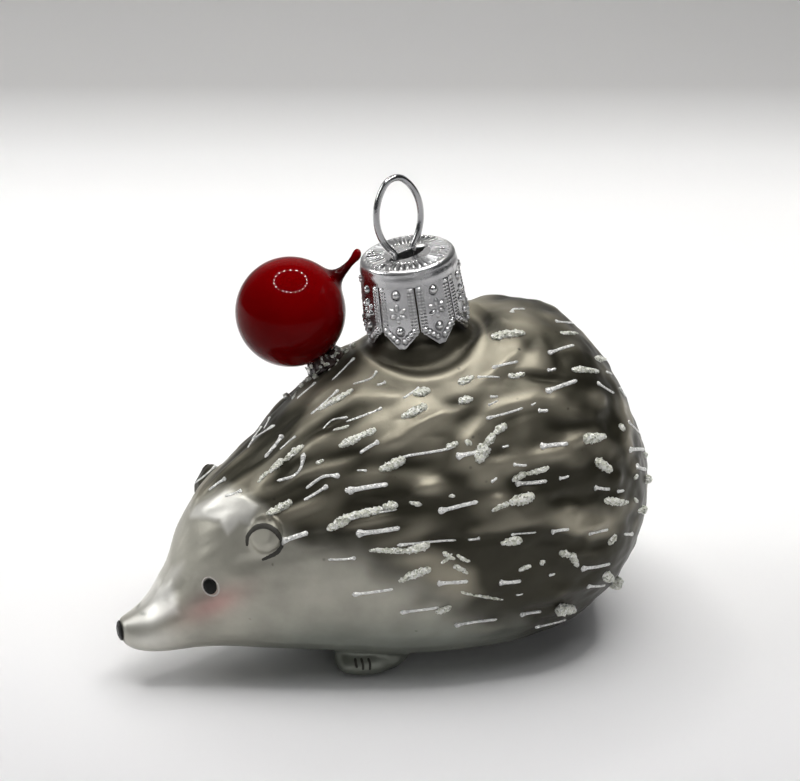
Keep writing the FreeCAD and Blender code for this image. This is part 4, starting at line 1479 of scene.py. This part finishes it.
def soft_panel(name, size, place, power):
    """A large soft lamp turned to the object."""
    light = bpy.data.lights.new(name, "AREA")
    light.shape = "RECTANGLE"
    light.size, light.size_y = size
    light.energy = power
    obj = new_object(name, light)
    obj.location = Vector(place)
    obj.rotation_mode = "QUATERNION"
    obj.rotation_quaternion = (Vector(place) - Vector(LAMP_AIM)).to_track_quat("Z", "Y")
    return obj


def ring_lamp(name, middle, bead, count, strength):
    """A level ring of small glowing beads."""
    material, _, shader = new_material(f"{name}_glow")
    set_inputs(shader, {"Emission Color": (1.0, 0.98, 0.95, 1), "Emission Strength": strength})
    mesh = bmesh.new()
    for i in range(count):
        angle = 2 * math.pi * i / count
        spoke = Vector((RING_RADIUS * math.cos(angle), RING_RADIUS * math.sin(angle), 0.0))
        place = Matrix.Translation(Vector(middle) + spoke)
        bmesh.ops.create_icosphere(mesh, subdivisions=2, radius=bead, matrix=place)
    data = bpy.data.meshes.new(name)
    mesh.to_mesh(data)
    data.materials.append(material)
    return new_object(name, data)


def card_material():
    """White card whose tone is painted light falloff: darker before the object, and greyer with the distance
    behind it, as the photograph's backdrop does.
    """
    material, tree, shader = new_material("white_card")
    coordinates = tree.nodes.new("ShaderNodeTexCoord")
    split = tree.nodes.new("ShaderNodeSeparateXYZ")
    tree.links.new(coordinates.outputs["Object"], split.inputs["Vector"])
    scaled = tree.nodes.new("ShaderNodeMapRange")
    scaled.inputs["From Min"].default_value = -0.30
    scaled.inputs["From Max"].default_value = 0.60
    tree.links.new(split.outputs["Y"], scaled.inputs["Value"])
    tone = add_ramp(tree, scaled.outputs["Result"], CARD_FALLOFF_TONES)
    tree.links.new(tone, shader.inputs["Base Color"])
    set_inputs(shader, {"Roughness": 0.9, "Specular IOR Level": 0.1})
    return material


def make_card():
    """A sweep of white card, turned so that its depth runs along the camera's view."""
    line = [(CARD_FRONT, 0.0), (CARD_BACK, 0.0)]
    for i in range(1, CARD_BEND_STEPS + 1):
        angle = math.pi / 2 * i / CARD_BEND_STEPS
        line.append((CARD_BACK + CARD_BEND * math.sin(angle), CARD_BEND - CARD_BEND * math.cos(angle)))
    line.append((CARD_BACK + CARD_BEND, CARD_TOP))
    corners = [(x, y, z) for y, z in line for x in (-CARD_HALF, CARD_HALF)]
    mesh = bpy.data.meshes.new("white_card")
    mesh.from_pydata(corners, [], [(2 * i, 2 * i + 1, 2 * i + 3, 2 * i + 2) for i in range(len(line) - 1)])
    mesh.shade_smooth()
    mesh.materials.append(card_material())
    card = new_object("white_card", mesh)
    card.rotation_euler = (0, 0, math.radians(CAMERA_AZIMUTH_DEG))


def make_lamps():
    """Lamps of the room, which leave the apple out, and the ring that lights the apple alone."""
    apple_only = bpy.data.collections.new("lit_by_apple_ring")
    all_but_apple = bpy.data.collections.new("unlit_by_room_lamps")
    for group in (apple_only, all_but_apple):
        group.objects.link(bpy.data.objects["glossy_apple"])
    for row in SOFT_PANELS:
        panel = soft_panel(*row)
        panel.light_linking.receiver_collection = all_but_apple
    for ring in RING_LAMPS:
        lamp = ring_lamp(*ring)
        lamp.light_linking.receiver_collection = apple_only if ring[0] == "apple_ring" else all_but_apple
    all_but_apple.collection_objects[0].light_linking.link_state = "EXCLUDE"


def make_world():
    world = bpy.data.worlds.new("studio")
    world.use_nodes = True
    background = world.node_tree.nodes["Background"]
    set_inputs(background, {"Color": (0.95, 0.97, 1.0, 1), "Strength": WORLD_STRENGTH})
    bpy.context.scene.world = world
    bpy.context.scene.view_settings.view_transform = "Standard"


def make_camera():
    """The camera that the photograph was taken with, as far as it could be fitted."""
    data = bpy.data.cameras.new("photo_camera")
    data.sensor_width = SENSOR_MM
    data.sensor_fit = "HORIZONTAL"
    data.lens = FOCAL_PIXELS / PHOTO_SIZE[0] * SENSOR_MM
    obj = new_object("photo_camera", data)
    obj.matrix_world = Matrix((
        (RIGHT.x, UPWARD.x, -FORWARD.x, EYE.x * MM),
        (RIGHT.y, UPWARD.y, -FORWARD.y, EYE.y * MM),
        (RIGHT.z, UPWARD.z, -FORWARD.z, EYE.z * MM),
        (0, 0, 0, 1),
    ))
    bpy.context.scene.camera = obj


make_card()
make_lamps()
make_world()
make_camera()
